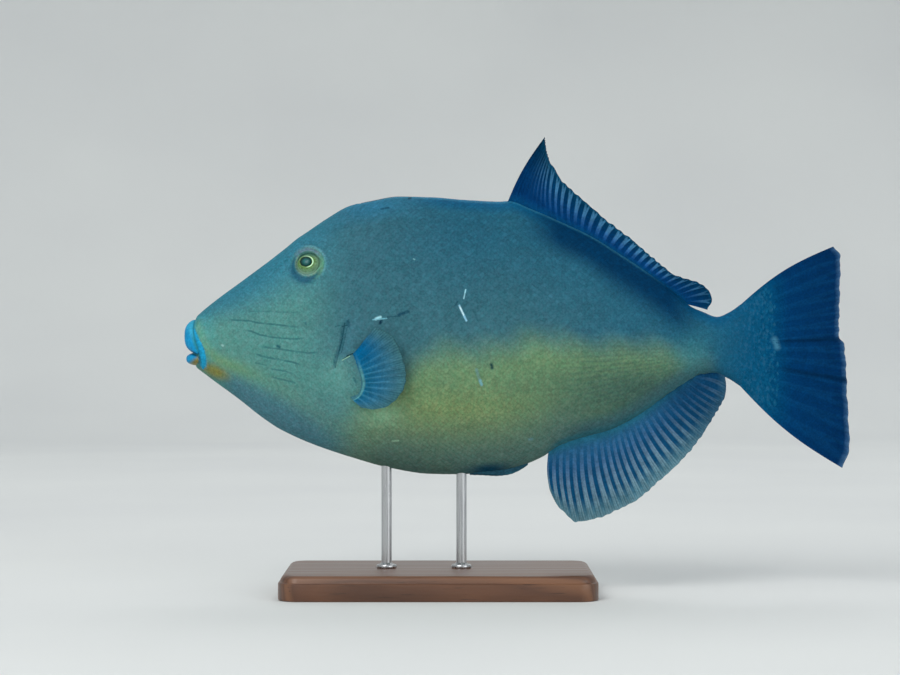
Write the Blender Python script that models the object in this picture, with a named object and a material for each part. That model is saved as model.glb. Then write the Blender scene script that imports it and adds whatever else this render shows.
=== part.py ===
"""Orangeside triggerfish, a still life-size model on a plain display stand.

The fish faces -X and its mid-plane is Y = 0. Sizes are in millimetres until a mesh is made. A place on the
fish is given as s, the distance back from the front of the lips, and h, the height over the body's long axis.
"""

import math

import bmesh
import bpy
import numpy as np
from mathutils import Matrix, Vector

MM = 0.001
GAP = 0.3

# Driving sizes of the fish
TOTAL_LENGTH = 320.0
AXIS_HEIGHT = 119.0
HEAD_END = 78.5
TRUNK_END = 248.0
PEDUNCLE_END = 268.0

# Outlines of the body in the mid-plane, and the half widths of its sections
BACK = (
    (3, 12.8), (7, 15.9), (16.6, 23.1), (26.2, 30), (40.7, 40.6), (55.1, 51.9), (69.6, 61.8),
    (79.2, 67.1), (88.8, 69.5), (103.3, 71.8), (117.7, 71.4), (137, 69.9), (151.4, 69.3), (156, 69.6),
    (165.9, 66), (180.3, 59.8), (194.8, 53), (209.2, 44), (223.7, 34.4), (238.1, 23.6), (243.5, 18.6),
    (249, 16.2), (256, 13.8), (262.2, 16.2), (268, 20.2),
)
BELLY = (
    (3, -8.8), (7.9, -12.5), (14.2, -17.3), (26.2, -26), (37.3, -34.6), (46, -40.4), (60, -46.9),
    (79.2, -53.5), (98.5, -59), (117.7, -61.7), (134, -61.9), (143, -61), (152, -60.3), (159.2, -58.9),
    (170.7, -54.2), (180.3, -48.4), (190, -45), (204.4, -41), (218.9, -33.4), (233.3, -23.3),
    (242.9, -17), (248, -14.1), (254, -13.2), (260.8, -15.6), (268, -20.2),
)
HALF_WIDTH = (
    (3, 6.3), (7, 7.6), (16, 9.6), (26, 12), (41, 15.2), (55, 17.8), (70, 20.4), (85, 22.6), (103, 24),
    (120, 24.2), (140, 23.2), (160, 20.9), (180, 18), (200, 15), (219, 12.2), (233, 9.8), (245, 7.8),
    (256, 6.2), (268, 4),
)
WIDEST_LEVEL = (
    (3, 2), (26, 1), (55, -3), (80, -6), (103, -6), (140, -3), (180, 3), (219, 4), (256, 0.3), (268, 0),
)
BACK_KEEL = 1.1
BELLY_KEEL = 1.25
HEAD_FRONT = 4.0
RING_POINTS = 40
HEAD_STATIONS = 19
TRUNK_STATIONS = 30
PEDUNCLE_STATIONS = 5

# Eyes
EYE_RADIUS = 6.5
EYE_OPENING = 5.3
EYE_PLACE = (58.6, 39.3)
LID_THICKNESS = 0.9

# Marks of the head: lines of (s, h) places with half their width and their depth; a lip is given by its
# middle and its corner as (s, y, h) and by its half sizes (depth, height) at both
CHEEK_GROOVES = (
    ((24.6, 11.4), (31.3, 11.4), (36.2, 11.1), (45.8, 9.6), (54.7, 8.7)),
    ((30.4, 7.2), (33.5, 6.3), (37.3, 5.3), (45.8, 4), (55.1, 3.4)),
    ((37.3, -0.3), (42.6, -1.8), (48.9, -2.7), (56.6, -3.7)),
    ((36.8, -5.8), (43.9, -6.7), (50.8, -7.7), (54.2, -8.7)),
    ((42, -11.1), (50.6, -12.4)),
)
CHEEK_CUT = (0.45, 0.55)
GILL_SLIT = ((77.6, 11.1), (76.4, 8.4), (75.4, 1), (74, -2.9), (72.8, -6.7), (72, -12))
GILL_CUT = (0.8, 2.4)
GILL_LEAN = 1.6
EYE_GROOVE = ((44.4, 34.2), (46.8, 34.6), (49.4, 35.8), (50.8, 38))
EYE_GROOVE_CUT = (0.5, 0.6)
UPPER_LIP = ((3.0, 0, 4.7), (7.0, 6.9, -2.2), (3.0, 7.2), (1.8, 2.0))
LOWER_LIP = ((3.7, 0, -5.75), (7.0, 6.4, -5.95), (2.9, 2.8), (1.7, 1.3))
LIP_FOLD = ((7.4, 2.4), (8.7, -1.2), (9.5, -5), (9.3, -8.6), (8, -11.4))
LIP_FOLD_RADIUS = 1.0
NOSTRILS = ((46.2, 37.8), (49.4, 40.2))
NOSTRIL_RADIUS = 0.65

# Large scutes behind the gill slit: s, h, length, height
SCUTES = (
    (82.4, 9.6, 5, 4), (86.6, 8.8, 5, 4), (84.4, 5.8, 5, 4), (88.8, 5.4, 4.6, 3.6), (82.2, 2.6, 4.6, 3.8),
    (86.4, 2.2, 4.6, 3.6),
)
SCUTE_RISE = 0.7

# First dorsal fin, folded back into its trough: s, half width, depth of its middle under the back
TROUGH = (
    (83.8, 0.9, 1.2), (85.4, 1.75, 3.3), (100, 1.6, 3.2), (118, 1.2, 2.4), (132, 0.9, 1.7), (137, 0.6, 0.7),
)
SPINES = (
    ((85.9, 1.3), (90, 1.35), (100, 1.1), (110, 0.75), (117, 0.35)),
    ((119, 0.7), (124, 0.55), (130, 0.3)),
)
FOLD_HALF = 0.45

# Flap of skin with the pelvic spine, under the belly: s and depth under the belly
PELVIC_FLAP = (
    (139.5, 0.5), (142, 1), (144.5, 1.6), (147, 1.5), (149.5, 2.3), (152, 2.1), (154.5, 2.5), (157, 1.9),
    (159.5, 1.8), (162, 1.2), (163.8, 0.7),
)
PELVIC_HALF = (1.5, 0.6)

# Soft dorsal and anal fins: foot of the ray, its lean back from upright in degrees, and its length
DORSAL_RAYS = (
    (155.6, 30, 35.2), (161, 23.5, 31.4), (170.6, 9.3, 26.7), (175.4, 3, 24.5), (180.3, 3, 19.2),
    (185, 5, 16.5), (190, 12.6, 13.3), (199.6, 27, 9.8), (209.2, 42, 9), (218.9, 46, 7.4),
    (228.5, 58, 6.6), (238, 71, 12), (242.5, 73, 12),
)
ANAL_RAYS = (
    (174.8, 2, 17.3), (177, 4, 26), (180.3, 5, 32.5), (185.2, 5.4, 38.6), (192.9, 8.4, 39.2),
    (199.6, 13.4, 37.3), (206.3, 18.2, 35.5), (213.1, 24.6, 32.3), (218.9, 32.9, 30.1),
    (228.5, 45, 26.5), (238.1, 54, 21.4), (243, 61, 18.6), (245, 70, 17), (246.3, 87, 14.8),
)
DORSAL_RAY_COUNT = 27
ANAL_RAY_COUNT = 25
SHEATH_HEIGHT = 2.2
SHEATH_HALF = (1.5, 1.0)
RAY_BOW = 0.05
WAVE = 1.5
WAVE_LENGTH = 46.0
RAY_HALF = 0.62
MEMBRANE_HALF = 0.3
MARGIN_HALF = 0.25
TOOTH = 0.45

# Tail fin: rays spread from the peduncle's end to the hind margin
TAIL_RAY_COUNT = 12
TAIL_MARGIN = (
    (0, 313.6, 47.6), (0.05, 315.6, 42.5), (0.25, 315.2, 21), (0.45, 314.7, 5), (0.52, 317.4, 0),
    (0.75, 318.8, -22), (0.95, 320, -50), (1, 317.8, -59),
)
TAIL_BOW = 2.9
TAIL_ROOT_HALF = 3.3

# Paired fins: share of the root from top to bottom, foot s and h, slope in degrees, length seen from the side
PECTORAL_RAYS = (
    (0, 82.9, -3.4, 52, 15.2), (0.2, 84.6, -9, 34, 20.8), (0.4, 86, -13.5, 14, 20.8),
    (0.6, 86.9, -18, 4, 19.8), (0.8, 86, -22, -15, 16.6), (1, 82.8, -26, -48, 7),
)
PECTORAL_RAY_COUNT = 13
PECTORAL_LOBE = (6.0, 2.2)
PECTORAL_FLARE = math.radians(27)

# Display stand
BASE_SIZE = (150.0, 84.0, 12.0)
BASE_CENTRE_S = 122.0
BASE_CORNER = 10.0
BASE_EDGE = 1.6
ROD_RADIUS = 2.5
ROD_PLACES = (97.0, 133.0)


def smooth_through(points):
    """A function of the first number of each point: a smooth curve through the second, with no overshoot."""
    xs = np.array([p[0] for p in points], float)
    ys = np.array([p[1] for p in points], float)
    slopes = np.diff(ys) / np.diff(xs)
    tangents = np.concatenate([slopes[:1], np.zeros(len(xs) - 2), slopes[-1:]])
    for i in range(1, len(xs) - 1):
        before, after = slopes[i - 1], slopes[i]
        if before * after > 0:
            left, right = xs[i] - xs[i - 1], xs[i + 1] - xs[i]
            wide, narrow = left + 2 * right, 2 * left + right
            tangents[i] = (wide + narrow) / (wide / after + narrow / before)

    def value(x):
        i = int(np.clip(np.searchsorted(xs, x) - 1, 0, len(xs) - 2))
        step = xs[i + 1] - xs[i]
        t = min(max((x - xs[i]) / step, 0.0), 1.0)
        return float(
            ys[i] * (1 + 2 * t) * (1 - t) ** 2
            + step * tangents[i] * t * (1 - t) ** 2
            + ys[i + 1] * t * t * (3 - 2 * t)
            + step * tangents[i + 1] * t * t * (t - 1)
        )

    return value


def column_of(rows, column):
    return smooth_through([(row[0], row[column]) for row in rows])


back = smooth_through(BACK)
belly = smooth_through(BELLY)
half_width = smooth_through(HALF_WIDTH)
widest_level = smooth_through(WIDEST_LEVEL)


def skin_point(s, turn):
    """The point of the body's skin at s, turn radians round its section from the right side over the back."""
    level = widest_level(s)
    up = math.sin(turn)
    reach = back(s) - level if up >= 0 else level - belly(s)
    keel = BACK_KEEL if up >= 0 else BELLY_KEEL
    across = math.cos(turn)
    side = half_width(s) * math.copysign(abs(across) ** keel, across)
    return Vector((s, side, level + reach * up))


def skin_side(s, h):
    """Half the body's width at s and h."""
    level = widest_level(s)
    above = h >= level
    reach = back(s) - level if above else level - belly(s)
    keel = BACK_KEEL if above else BELLY_KEEL
    up = min(abs(h - level) / reach, 1.0)
    return half_width(s) * (1 - up * up) ** (keel / 2)


def on_skin(s, h, side, lift=0.0):
    """The point of the skin at s and h on side 1 (right) or -1 (left), lifted off it, with its normal."""
    step = 0.5
    point = Vector((s, side * skin_side(s, h), h))
    along = Vector((2 * step, side * (skin_side(s + step, h) - skin_side(s - step, h)), 0))
    upward = Vector((0, side * (skin_side(s, h + step) - skin_side(s, h - step)), 2 * step))
    normal = along.cross(upward).normalized()
    if normal.y * side < 0:
        normal.negate()
    return point + lift * normal, normal


def placed(point):
    """A place on the fish, in metres in the model's frame."""
    s, y, h = point
    return Vector(((s - TOTAL_LENGTH / 2) * MM, y * MM, (h + AXIS_HEIGHT) * MM))


def collection_for(name, hidden=False):
    collection = bpy.data.collections.new(name)
    bpy.context.scene.collection.children.link(collection)
    collection.hide_render = hidden
    return collection


def start_scene():
    for obj in list(bpy.data.objects):
        bpy.data.objects.remove(obj)
    return collection_for("triggerfish"), collection_for("cutters", hidden=True)


def material(name, colour, roughness, metallic=0.0):
    made = bpy.data.materials.new(name)
    made.use_nodes = True
    shader = made.node_tree.nodes["Principled BSDF"]
    shader.inputs["Base Color"].default_value = (*colour, 1)
    shader.inputs["Roughness"].default_value = roughness
    shader.inputs["Metallic"].default_value = metallic
    made.diffuse_color = (*colour, 1)
    return made


def object_from(mesh_maker, name, collection):
    """Makes a named object from a bmesh, with its faces turned outwards."""
    bmesh.ops.recalc_face_normals(mesh_maker, faces=mesh_maker.faces)
    if mesh_maker.calc_volume(signed=True) < 0:
        bmesh.ops.reverse_faces(mesh_maker, faces=mesh_maker.faces)
    mesh = bpy.data.meshes.new(name)
    mesh_maker.to_mesh(mesh)
    mesh_maker.free()
    obj = bpy.data.objects.new(name, mesh)
    collection.objects.link(obj)
    return obj


def cutter(mesh_maker):
    obj = object_from(mesh_maker, "piece", cutters)
    obj.hide_render = True
    obj.display_type = "WIRE"
    return obj


def loft(rings):
    """A closed bmesh over rings of points on the fish, each with as many points, capped at both ends."""
    made = bmesh.new()
    rows = [[made.verts.new(placed(point)) for point in ring] for ring in rings]
    for low, high in zip(rows, rows[1:]):
        for i in range(len(low)):
            j = (i + 1) % len(low)
            made.faces.new((low[i], low[j], high[j], high[i]))
    made.faces.new(rows[0])
    made.faces.new(rows[-1])
    return made


def sheet(front, behind):
    """A closed bmesh between two like grids of points, split into triangles alike on both faces."""
    made = bmesh.new()
    faces = [[[made.verts.new(placed(point)) for point in line] for line in grid] for grid in (front, behind)]
    columns, rows = len(front), len(front[0])
    for grid in faces:
        for i in range(columns - 1):
            for j in range(rows - 1):
                a, b, c, d = grid[i][j], grid[i + 1][j], grid[i + 1][j + 1], grid[i][j + 1]
                made.faces.new((a, b, c))
                made.faces.new((a, c, d))
    rim = [(i, 0) for i in range(columns)] + [(columns - 1, j) for j in range(1, rows)]
    rim += [(i, rows - 1) for i in range(columns - 2, -1, -1)] + [(0, j) for j in range(rows - 2, 0, -1)]
    for (i, j), (k, m) in zip(rim, rim[1:] + rim[:1]):
        made.faces.new((faces[0][i][j], faces[0][k][m], faces[1][k][m], faces[1][i][j]))
    return made


def groove(path, side, cut, lean=0.0):
    """A wedge along a line of places on one side, its sharp edge under the skin and lean further forward."""
    half, depth = cut
    proud = 0.8
    last = len(path) - 1
    points = [on_skin(*place, side) for place in path]
    rings = []
    for i, (point, normal) in enumerate(points):
        ahead = points[min(i + 1, last)][0] - points[max(i - 1, 0)][0]
        taper = 0.4 if i in (0, last) else 1.0
        across = ahead.cross(normal).normalized() * half * taper * (depth + proud) / depth
        top = point + normal * proud
        edge = point - normal * depth * taper - Vector((lean, 0, 0))
        rings.append([top + across, top - across, edge])
    return cutter(loft(rings))


def ridge(path, side, radius):
    """A rounded ridge that lies half sunk along a line of places on one side."""
    last = len(path) - 1
    points = [on_skin(*place, side, -0.2 * radius) for place in path]
    rings = []
    for i, (point, normal) in enumerate(points):
        ahead = (points[min(i + 1, last)][0] - points[max(i - 1, 0)][0]).normalized()
        across = ahead.cross(normal).normalized()
        size = radius * (0.45 if i in (0, last) else 1.0)
        turns = [2 * math.pi * k / 6 for k in range(6)]
        rings.append([point + size * (math.cos(a) * across + math.sin(a) * normal) for a in turns])
    return cutter(loft(rings))


def scute(place, side):
    """A low four-cornered plate that stands on the skin, its hind corner the highest."""
    s, h, length, height = place
    point, normal = on_skin(s, h, side)
    along = Vector((1, 0, 0)).cross(normal).cross(normal).normalized() * -length / 2
    upward = along.normalized().cross(normal).normalized() * height / 2
    corners = (along, upward, -along, -upward)
    low = [point + 1.1 * corner - 0.6 * normal for corner in corners]
    lifts = (1.0, 0.6, 0.25, 0.6)
    high = [point + 0.75 * c + SCUTE_RISE * lift * normal for c, lift in zip(corners, lifts)]
    return cutter(loft([low, high]))


def keep_largest(obj):
    """Keeps the largest closed surface of an object and drops the rest."""
    made = bmesh.new()
    made.from_mesh(obj.data)
    left = set(made.verts)
    islands = []
    while left:
        island, edge = set(), [left.pop()]
        while edge:
            vertex = edge.pop()
            island.add(vertex)
            for joined in vertex.link_edges:
                other = joined.other_vert(vertex)
                if other in left:
                    left.remove(other)
                    edge.append(other)
        islands.append(island)
    islands.sort(key=len)
    for scrap in islands[:-1]:
        bmesh.ops.delete(made, geom=list(scrap), context="VERTS")
    made.to_mesh(obj.data)
    made.free()


def combine(obj, pieces, operation):
    """Joins closed pieces to an object, or cuts them from it, in one Boolean, and removes them."""
    group = bpy.data.collections.new("group")
    for piece in pieces:
        group.objects.link(piece)
    boolean = obj.modifiers.new("combine", "BOOLEAN")
    boolean.operation = operation
    boolean.operand_type = "COLLECTION"
    boolean.collection = group
    graph = bpy.context.evaluated_depsgraph_get()
    result = bpy.data.meshes.new_from_object(obj.evaluated_get(graph))
    obj.modifiers.clear()
    obj.data = result
    bpy.data.collections.remove(group)
    for piece in pieces:
        bpy.data.objects.remove(piece)
    keep_largest(obj)


def finished(obj, name, made_of):
    obj.name = name
    obj.data.name = name
    obj.data.materials.clear()
    obj.data.materials.append(made_of)
    obj.data.shade_smooth()
    obj.data.set_sharp_from_angle(angle=math.radians(40))
    return obj


def body_length(name, start, end, stations):
    """One length of the body between two upright cuts."""
    turns = [2 * math.pi * (i + 0.25 * RING_POINTS) / RING_POINTS for i in range(RING_POINTS)]
    places = np.linspace(start, end, stations)
    return object_from(loft([[skin_point(s, turn) for turn in turns] for s in places]), name, fish)


def ball(centre, radius, segments=20, rings=10):
    made = bmesh.new()
    bmesh.ops.create_uvsphere(made, u_segments=segments, v_segments=rings, radius=radius * MM)
    bmesh.ops.translate(made, verts=made.verts, vec=placed(centre))
    return made


def eye_frame(side):
    """The centre of the eyeball on one side and the direction in which it looks."""
    point, normal = on_skin(*EYE_PLACE, side)
    depth = math.sqrt(EYE_RADIUS**2 - EYE_OPENING**2)
    return point - depth * normal, point, normal


def lid_ring(side):
    """The rim of skin round the eye, a ring that stands on the skin."""
    _, point, normal = eye_frame(side)
    bpy.ops.mesh.primitive_torus_add(
        major_radius=(EYE_OPENING + 0.75) * MM,
        minor_radius=LID_THICKNESS * MM,
        major_segments=24,
        minor_segments=6,
    )
    ring = bpy.context.object
    turned = normal.to_track_quat("Z", "Y").to_matrix().to_4x4()
    ring.data.transform(Matrix.Translation(placed(point)) @ turned)
    return ring


def lip_rings(centre, corner, front_half, corner_half, extra=0.0):
    """Rings of a lip swept round the snout: centre and corner are (s, y, h), halves are (depth, height)."""
    rings = []
    for turn in np.linspace(-math.pi / 2, math.pi / 2, 13):
        blend = 1 - math.cos(turn)
        s = centre[0] + (corner[0] - centre[0]) * blend
        h = centre[2] + (corner[2] - centre[2]) * blend
        y = corner[1] * math.sin(turn)
        depth = front_half[0] + (corner_half[0] - front_half[0]) * blend + extra
        height = front_half[1] + (corner_half[1] - front_half[1]) * blend + extra
        middle = Vector((s, y, h))
        outward = depth * Vector((-math.cos(turn), math.sin(turn), 0))
        upward = height * Vector((0, 0, 1))
        turns = [2 * math.pi * i / 10 for i in range(10)]
        rings.append([middle + math.cos(a) * outward + math.sin(a) * upward for a in turns])
    if extra:
        further = Vector((extra, 0, 0))
        rings.insert(0, [point + further for point in rings[0]])
        rings.append([point + further for point in rings[-1]])
    return rings


def nostril(place, side):
    """The raised rim of a nostril and the cutter of its opening."""
    point, normal = on_skin(*place, side)
    turned = Matrix.Translation(placed(point)) @ normal.to_track_quat("Z", "Y").to_matrix().to_4x4()
    bpy.ops.mesh.primitive_torus_add(
        major_radius=1.5 * NOSTRIL_RADIUS * MM,
        minor_radius=0.6 * NOSTRIL_RADIUS * MM,
        major_segments=10,
        minor_segments=5,
    )
    rim = bpy.context.object
    rim.data.transform(turned)
    hole = bmesh.new()
    size = NOSTRIL_RADIUS * MM
    bmesh.ops.create_cone(
        hole, cap_ends=True, segments=8, radius1=0.6 * size, radius2=1.1 * size, depth=4 * size, matrix=turned
    )
    return rim, cutter(hole)


def make_head():
    head = body_length("head", HEAD_FRONT, HEAD_END, HEAD_STATIONS)
    raised = [lid_ring(side) for side in (1, -1)]
    raised += [ridge(LIP_FOLD, side, LIP_FOLD_RADIUS) for side in (1, -1)]
    sunk = [cutter(ball(eye_frame(side)[0], EYE_RADIUS + GAP)) for side in (1, -1)]
    for side in (1, -1):
        for place in NOSTRILS:
            rim, hole = nostril(place, side)
            raised.append(rim)
            sunk.append(hole)
        sunk += [groove(path, side, CHEEK_CUT) for path in CHEEK_GROOVES]
        sunk.append(groove(GILL_SLIT, side, GILL_CUT, GILL_LEAN))
        sunk.append(groove(EYE_GROOVE, side, EYE_GROOVE_CUT))
    combine(head, raised, "UNION")
    combine(head, sunk, "DIFFERENCE")
    for lip in (UPPER_LIP, LOWER_LIP):
        combine(head, [cutter(loft(lip_rings(*lip, extra=GAP)))], "DIFFERENCE")
    return finished(head, "head", material("head_skin", (0.16, 0.36, 0.36), 0.45))


def make_lips():
    blue = material("lip_blue", (0.05, 0.42, 0.68), 0.35)
    for name, lip in (("upper_lip", UPPER_LIP), ("lower_lip", LOWER_LIP)):
        finished(object_from(loft(lip_rings(*lip)), name, fish), name, blue)


def make_eyes():
    look = material("eye", (0.45, 0.45, 0.15), 0.1)
    for name, side in (("eye_left", -1), ("eye_right", 1)):
        centre = eye_frame(side)[0]
        finished(object_from(ball(centre, EYE_RADIUS), name, fish), name, look)


def back_run(rows, half, sink, reach=0.0):
    """Upright rings along the back: half(row) is their half width, sink(row) the depth of their foot."""
    rings = []
    for row in rows:
        s, top = row[0], back(row[0]) + reach
        wide, low = half(row), back(row[0]) - sink(row)
        corners = ((wide, top), (-wide, top), (-0.7 * wide, low), (0.7 * wide, low))
        rings.append([Vector((s, y, h)) for y, h in corners])
    return loft(rings)


def make_trunk():
    trunk = body_length("trunk", HEAD_END + GAP, TRUNK_END, TRUNK_STATIONS)
    combine(trunk, [scute(place, side) for place in SCUTES for side in (1, -1)], "UNION")
    trough = cutter(back_run(TROUGH, lambda row: row[1], lambda row: row[2], reach=1.5))
    combine(trunk, [trough], "DIFFERENCE")
    return finished(trunk, "trunk", material("trunk_skin", (0.2, 0.35, 0.25), 0.45))


def make_peduncle():
    length = body_length("tail_peduncle", TRUNK_END + GAP, PEDUNCLE_END, PEDUNCLE_STATIONS)
    return finished(length, "tail_peduncle", material("peduncle_skin", (0.1, 0.28, 0.4), 0.45))


def make_first_dorsal():
    """The folded first dorsal fin: two spines and the skin between them, lying in the trough of the back."""
    depth = smooth_through([(row[0], row[2]) for row in TROUGH])
    wide = smooth_through([(row[0], row[1]) for row in TROUGH])
    places = np.linspace(SPINES[0][0][0] + 1, TROUGH[-1][0] - 2.5, 12)
    fold = back_run(
        [(s,) for s in places],
        lambda row: min(FOLD_HALF, wide(row[0]) - GAP),
        lambda row: depth(row[0]) - GAP * 1.3,
        reach=-0.5,
    )
    fin = object_from(fold, "first_dorsal_fin", fish)
    rods = []
    for spine in SPINES:
        rings = []
        turns = [2 * math.pi * k / 8 for k in range(8)]
        for s, radius in spine:
            middle = back(s) - max(0.3, radius) - 0.1
            rings.append([Vector((s, radius * math.cos(a), middle + radius * math.sin(a))) for a in turns])
        rods.append(cutter(loft(rings)))
    combine(fin, rods, "UNION")
    finished(fin, "first_dorsal_fin", material("spine_skin", (0.1, 0.22, 0.3), 0.5))


def make_pelvic_flap():
    """The low flap with rough scutes under the belly that ends in the pelvic spine."""
    top, foot = PELVIC_HALF
    rings = []
    for s, depth in PELVIC_FLAP:
        high, low = belly(s) - 1.2 * GAP, belly(s) - depth - GAP
        share = min(1.0, 0.3 + depth / 2)
        corners = ((top * share, high), (-top * share, high), (-foot * share, low), (foot * share, low))
        rings.append([Vector((s, y, h)) for y, h in corners])
    flap = object_from(loft(rings), "pelvic_flap", fish)
    finished(flap, "pelvic_flap", material("flap_skin", (0.12, 0.28, 0.26), 0.5))


def make_median_fin(name, rays, count, outline, direction, look):
    """A fin on the mid-line, its rays standing up (direction 1) or hanging (-1) from the outline's curve."""
    lean = column_of(rays, 1)
    length = column_of(rays, 2)
    feet = np.linspace(rays[0][0], rays[-1][0], 2 * count - 1)
    shares = (0, 0.28, 0.56, 0.8, 1)
    front, behind = [], []
    for i, foot in enumerate(feet):
        ray = i % 2 == 0
        angle = math.radians(lean(foot))
        reach = length(foot) + (TOOTH if ray else -TOOTH)
        sheath = SHEATH_HEIGHT / reach
        swing = WAVE * math.sin(2 * math.pi * (foot - feet[0]) / WAVE_LENGTH)
        sides = ([], [])
        for j in range(len(shares) + 1):
            share = 0.0 if j == 0 else sheath + (1 - sheath) * shares[j - 1]
            bow = -RAY_BOW * reach * math.sin(math.pi * share)
            along = foot + reach * math.sin(angle) * share + bow * math.cos(angle)
            rise = outline(foot) + direction * (1.2 * GAP + reach * math.cos(angle) * share)
            if j < 2:
                half = SHEATH_HALF[j]
            elif j == len(shares):
                half = MARGIN_HALF
            else:
                half = (RAY_HALF if ray else MEMBRANE_HALF) * (1.1 - 0.4 * share)
            for grid, sign in zip(sides, (1, -1)):
                grid.append(Vector((along, swing * share**2 + sign * half, rise)))
        front.append(sides[0])
        behind.append(sides[1])
    finished(object_from(sheet(front, behind), name, fish), name, look)


def make_tail_fin(look):
    """The tail fin, with rays that fork into two towards the margin."""
    margin_s = column_of(TAIL_MARGIN, 1)
    margin_h = column_of(TAIL_MARGIN, 2)
    columns = 4 * TAIL_RAY_COUNT + 1
    shares = (0, 0.14, 0.3, 0.48, 0.66, 0.84, 1)
    root_top, root_bottom = back(PEDUNCLE_END) - 0.2, belly(PEDUNCLE_END) + 0.2
    front, behind = [], []
    for i in range(columns):
        v = i / (columns - 1)
        phase = i % 4
        foot = Vector((PEDUNCLE_END + GAP, 0, root_top + (root_bottom - root_top) * v))
        tip = Vector((margin_s(v), 0, margin_h(v)))
        bow = TAIL_BOW * (1 - 2 * v) ** 3
        outward = Vector((-(tip - foot).z, 0, (tip - foot).x)).normalized()
        sides = ([], [])
        for j, share in enumerate(shares):
            point = foot.lerp(tip, share) + outward * bow * math.sin(math.pi * share)
            forked = share > 0.4
            crest = phase in (1, 3) if forked else phase == 2
            half = RAY_HALF if crest else MEMBRANE_HALF
            flesh = TAIL_ROOT_HALF * math.sqrt(max(1 - (2 * v - 1) ** 2, 0.03)) * (1 - share) ** 5
            half = MARGIN_HALF if j == len(shares) - 1 else half * (1.3 - 0.6 * share) + flesh
            for grid, sign in zip(sides, (1, -1)):
                grid.append(point + Vector((0, sign * half, 0)))
        front.append(sides[0])
        behind.append(sides[1])
    finished(object_from(sheet(front, behind), "tail_fin", fish), "tail_fin", look)


def make_pectoral_fin(name, side, look):
    """A side fin that stands off the body: a fleshy foot on the skin, then a fan of rays."""
    foot_s, foot_h, slope, length = (column_of(PECTORAL_RAYS, i) for i in (1, 2, 3, 4))
    shares = (0, 0.16, 0.4, 0.62, 0.82, 1)
    front, behind = [], []
    for i in range(2 * PECTORAL_RAY_COUNT - 1):
        v = i / (2 * PECTORAL_RAY_COUNT - 2)
        ray = i % 2 == 0
        s, h = foot_s(v), foot_h(v)
        angle = math.radians(slope(v))
        reach = length(v) + (TOOTH if ray else -TOOTH)
        long, thick = PECTORAL_LOBE
        lobe = math.sin(math.pi * (0.12 + 0.76 * v))
        outer = [on_skin(s - long * lobe, h, side, GAP * 1.3)[0]]
        inner = [on_skin(s + 0.6, h, side, GAP * 1.3)[0]]
        foot, normal = on_skin(s, h, side, 0.5 * thick)
        heading = Vector((math.cos(angle), 0, math.sin(angle)))
        off = Vector((-math.sin(PECTORAL_FLARE), side * math.cos(PECTORAL_FLARE), 0))
        for j, share in enumerate(shares[1:], 1):
            bend = math.tan(PECTORAL_FLARE) * (share - 0.25 * share * share)
            middle = foot + reach * (heading * share + Vector((0, side * bend, 0)))
            half = (RAY_HALF if ray else MEMBRANE_HALF) * (1.5 - 0.8 * share)
            if j == len(shares) - 1:
                half = MARGIN_HALF
            outer.append(middle + half * off)
            inner.append(middle - half * off)
        front.append(outer)
        behind.append(inner)
    finished(object_from(sheet(front, behind), name, fish), name, look)


def make_fins():
    dark = material("fin_membrane", (0.05, 0.14, 0.34), 0.4)
    make_median_fin("dorsal_fin", DORSAL_RAYS, DORSAL_RAY_COUNT, back, 1, dark)
    make_median_fin("anal_fin", ANAL_RAYS, ANAL_RAY_COUNT, belly, -1, dark)
    make_tail_fin(material("tail_fin_membrane", (0.03, 0.13, 0.3), 0.4))
    blue = material("pectoral_membrane", (0.08, 0.35, 0.55), 0.35)
    make_pectoral_fin("pectoral_fin_left", -1, blue)
    make_pectoral_fin("pectoral_fin_right", 1, blue)


def make_base():
    """The stand's flat base, a block with rounded corners and eased edges."""
    height = BASE_SIZE[2]
    made = bmesh.new()
    bmesh.ops.create_cube(made, size=1)
    bmesh.ops.scale(made, verts=made.verts, vec=Vector(BASE_SIZE) * MM)
    upright = [e for e in made.edges if abs(e.verts[0].co.z - e.verts[1].co.z) > height * MM / 2]
    bmesh.ops.bevel(made, geom=upright, offset=BASE_CORNER * MM, segments=5, affect="EDGES", profile=0.5)
    top = [e for e in made.edges if all(v.co.z > 0 for v in e.verts)]
    bmesh.ops.bevel(made, geom=top, offset=BASE_EDGE * MM, segments=2, affect="EDGES", profile=0.5)
    centre = Vector(((BASE_CENTRE_S - TOTAL_LENGTH / 2) * MM, 0, height * MM / 2))
    bmesh.ops.translate(made, verts=made.verts, vec=centre)
    finished(object_from(made, "stand_base", fish), "stand_base", material("wood", (0.13, 0.06, 0.03), 0.4))


def make_rods():
    """The rods of the stand, each cut on top to the belly's keel."""
    steel = material("steel", (0.6, 0.6, 0.62), 0.25, metallic=1.0)
    foot = BASE_SIZE[2] + GAP - AXIS_HEIGHT
    for number, place in enumerate(ROD_PLACES, 1):
        low, high = [], []
        for i in range(16):
            turn = 2 * math.pi * i / 16
            s, y = place + ROD_RADIUS * math.cos(turn), ROD_RADIUS * math.sin(turn)
            across = (abs(y) / half_width(s)) ** (1 / BELLY_KEEL)
            level = widest_level(s)
            top = level - (level - belly(s)) * math.sqrt(1 - across * across)
            low.append(Vector((s, y, foot)))
            high.append(Vector((s, y, min(top, belly(s) + 0.15) - GAP)))
        name = f"stand_rod_{number}"
        finished(object_from(loft([low, high]), name, fish), name, steel)


fish, cutters = start_scene()
make_head()
make_lips()
make_eyes()
make_trunk()
make_first_dorsal()
make_pelvic_flap()
make_peduncle()
make_fins()
make_base()
make_rods()
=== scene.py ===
"""Looks of the orangeside triggerfish, a still life-size model on a plain display stand.

Places on the fish are (s, y, h) in millimetres: s runs back from the front of the lips, y to the fish's right
and h up from the body's long axis. Flank places are (s, v), where v is the way up round a section from its
widest level. to_model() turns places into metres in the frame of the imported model.
"""

import math

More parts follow.
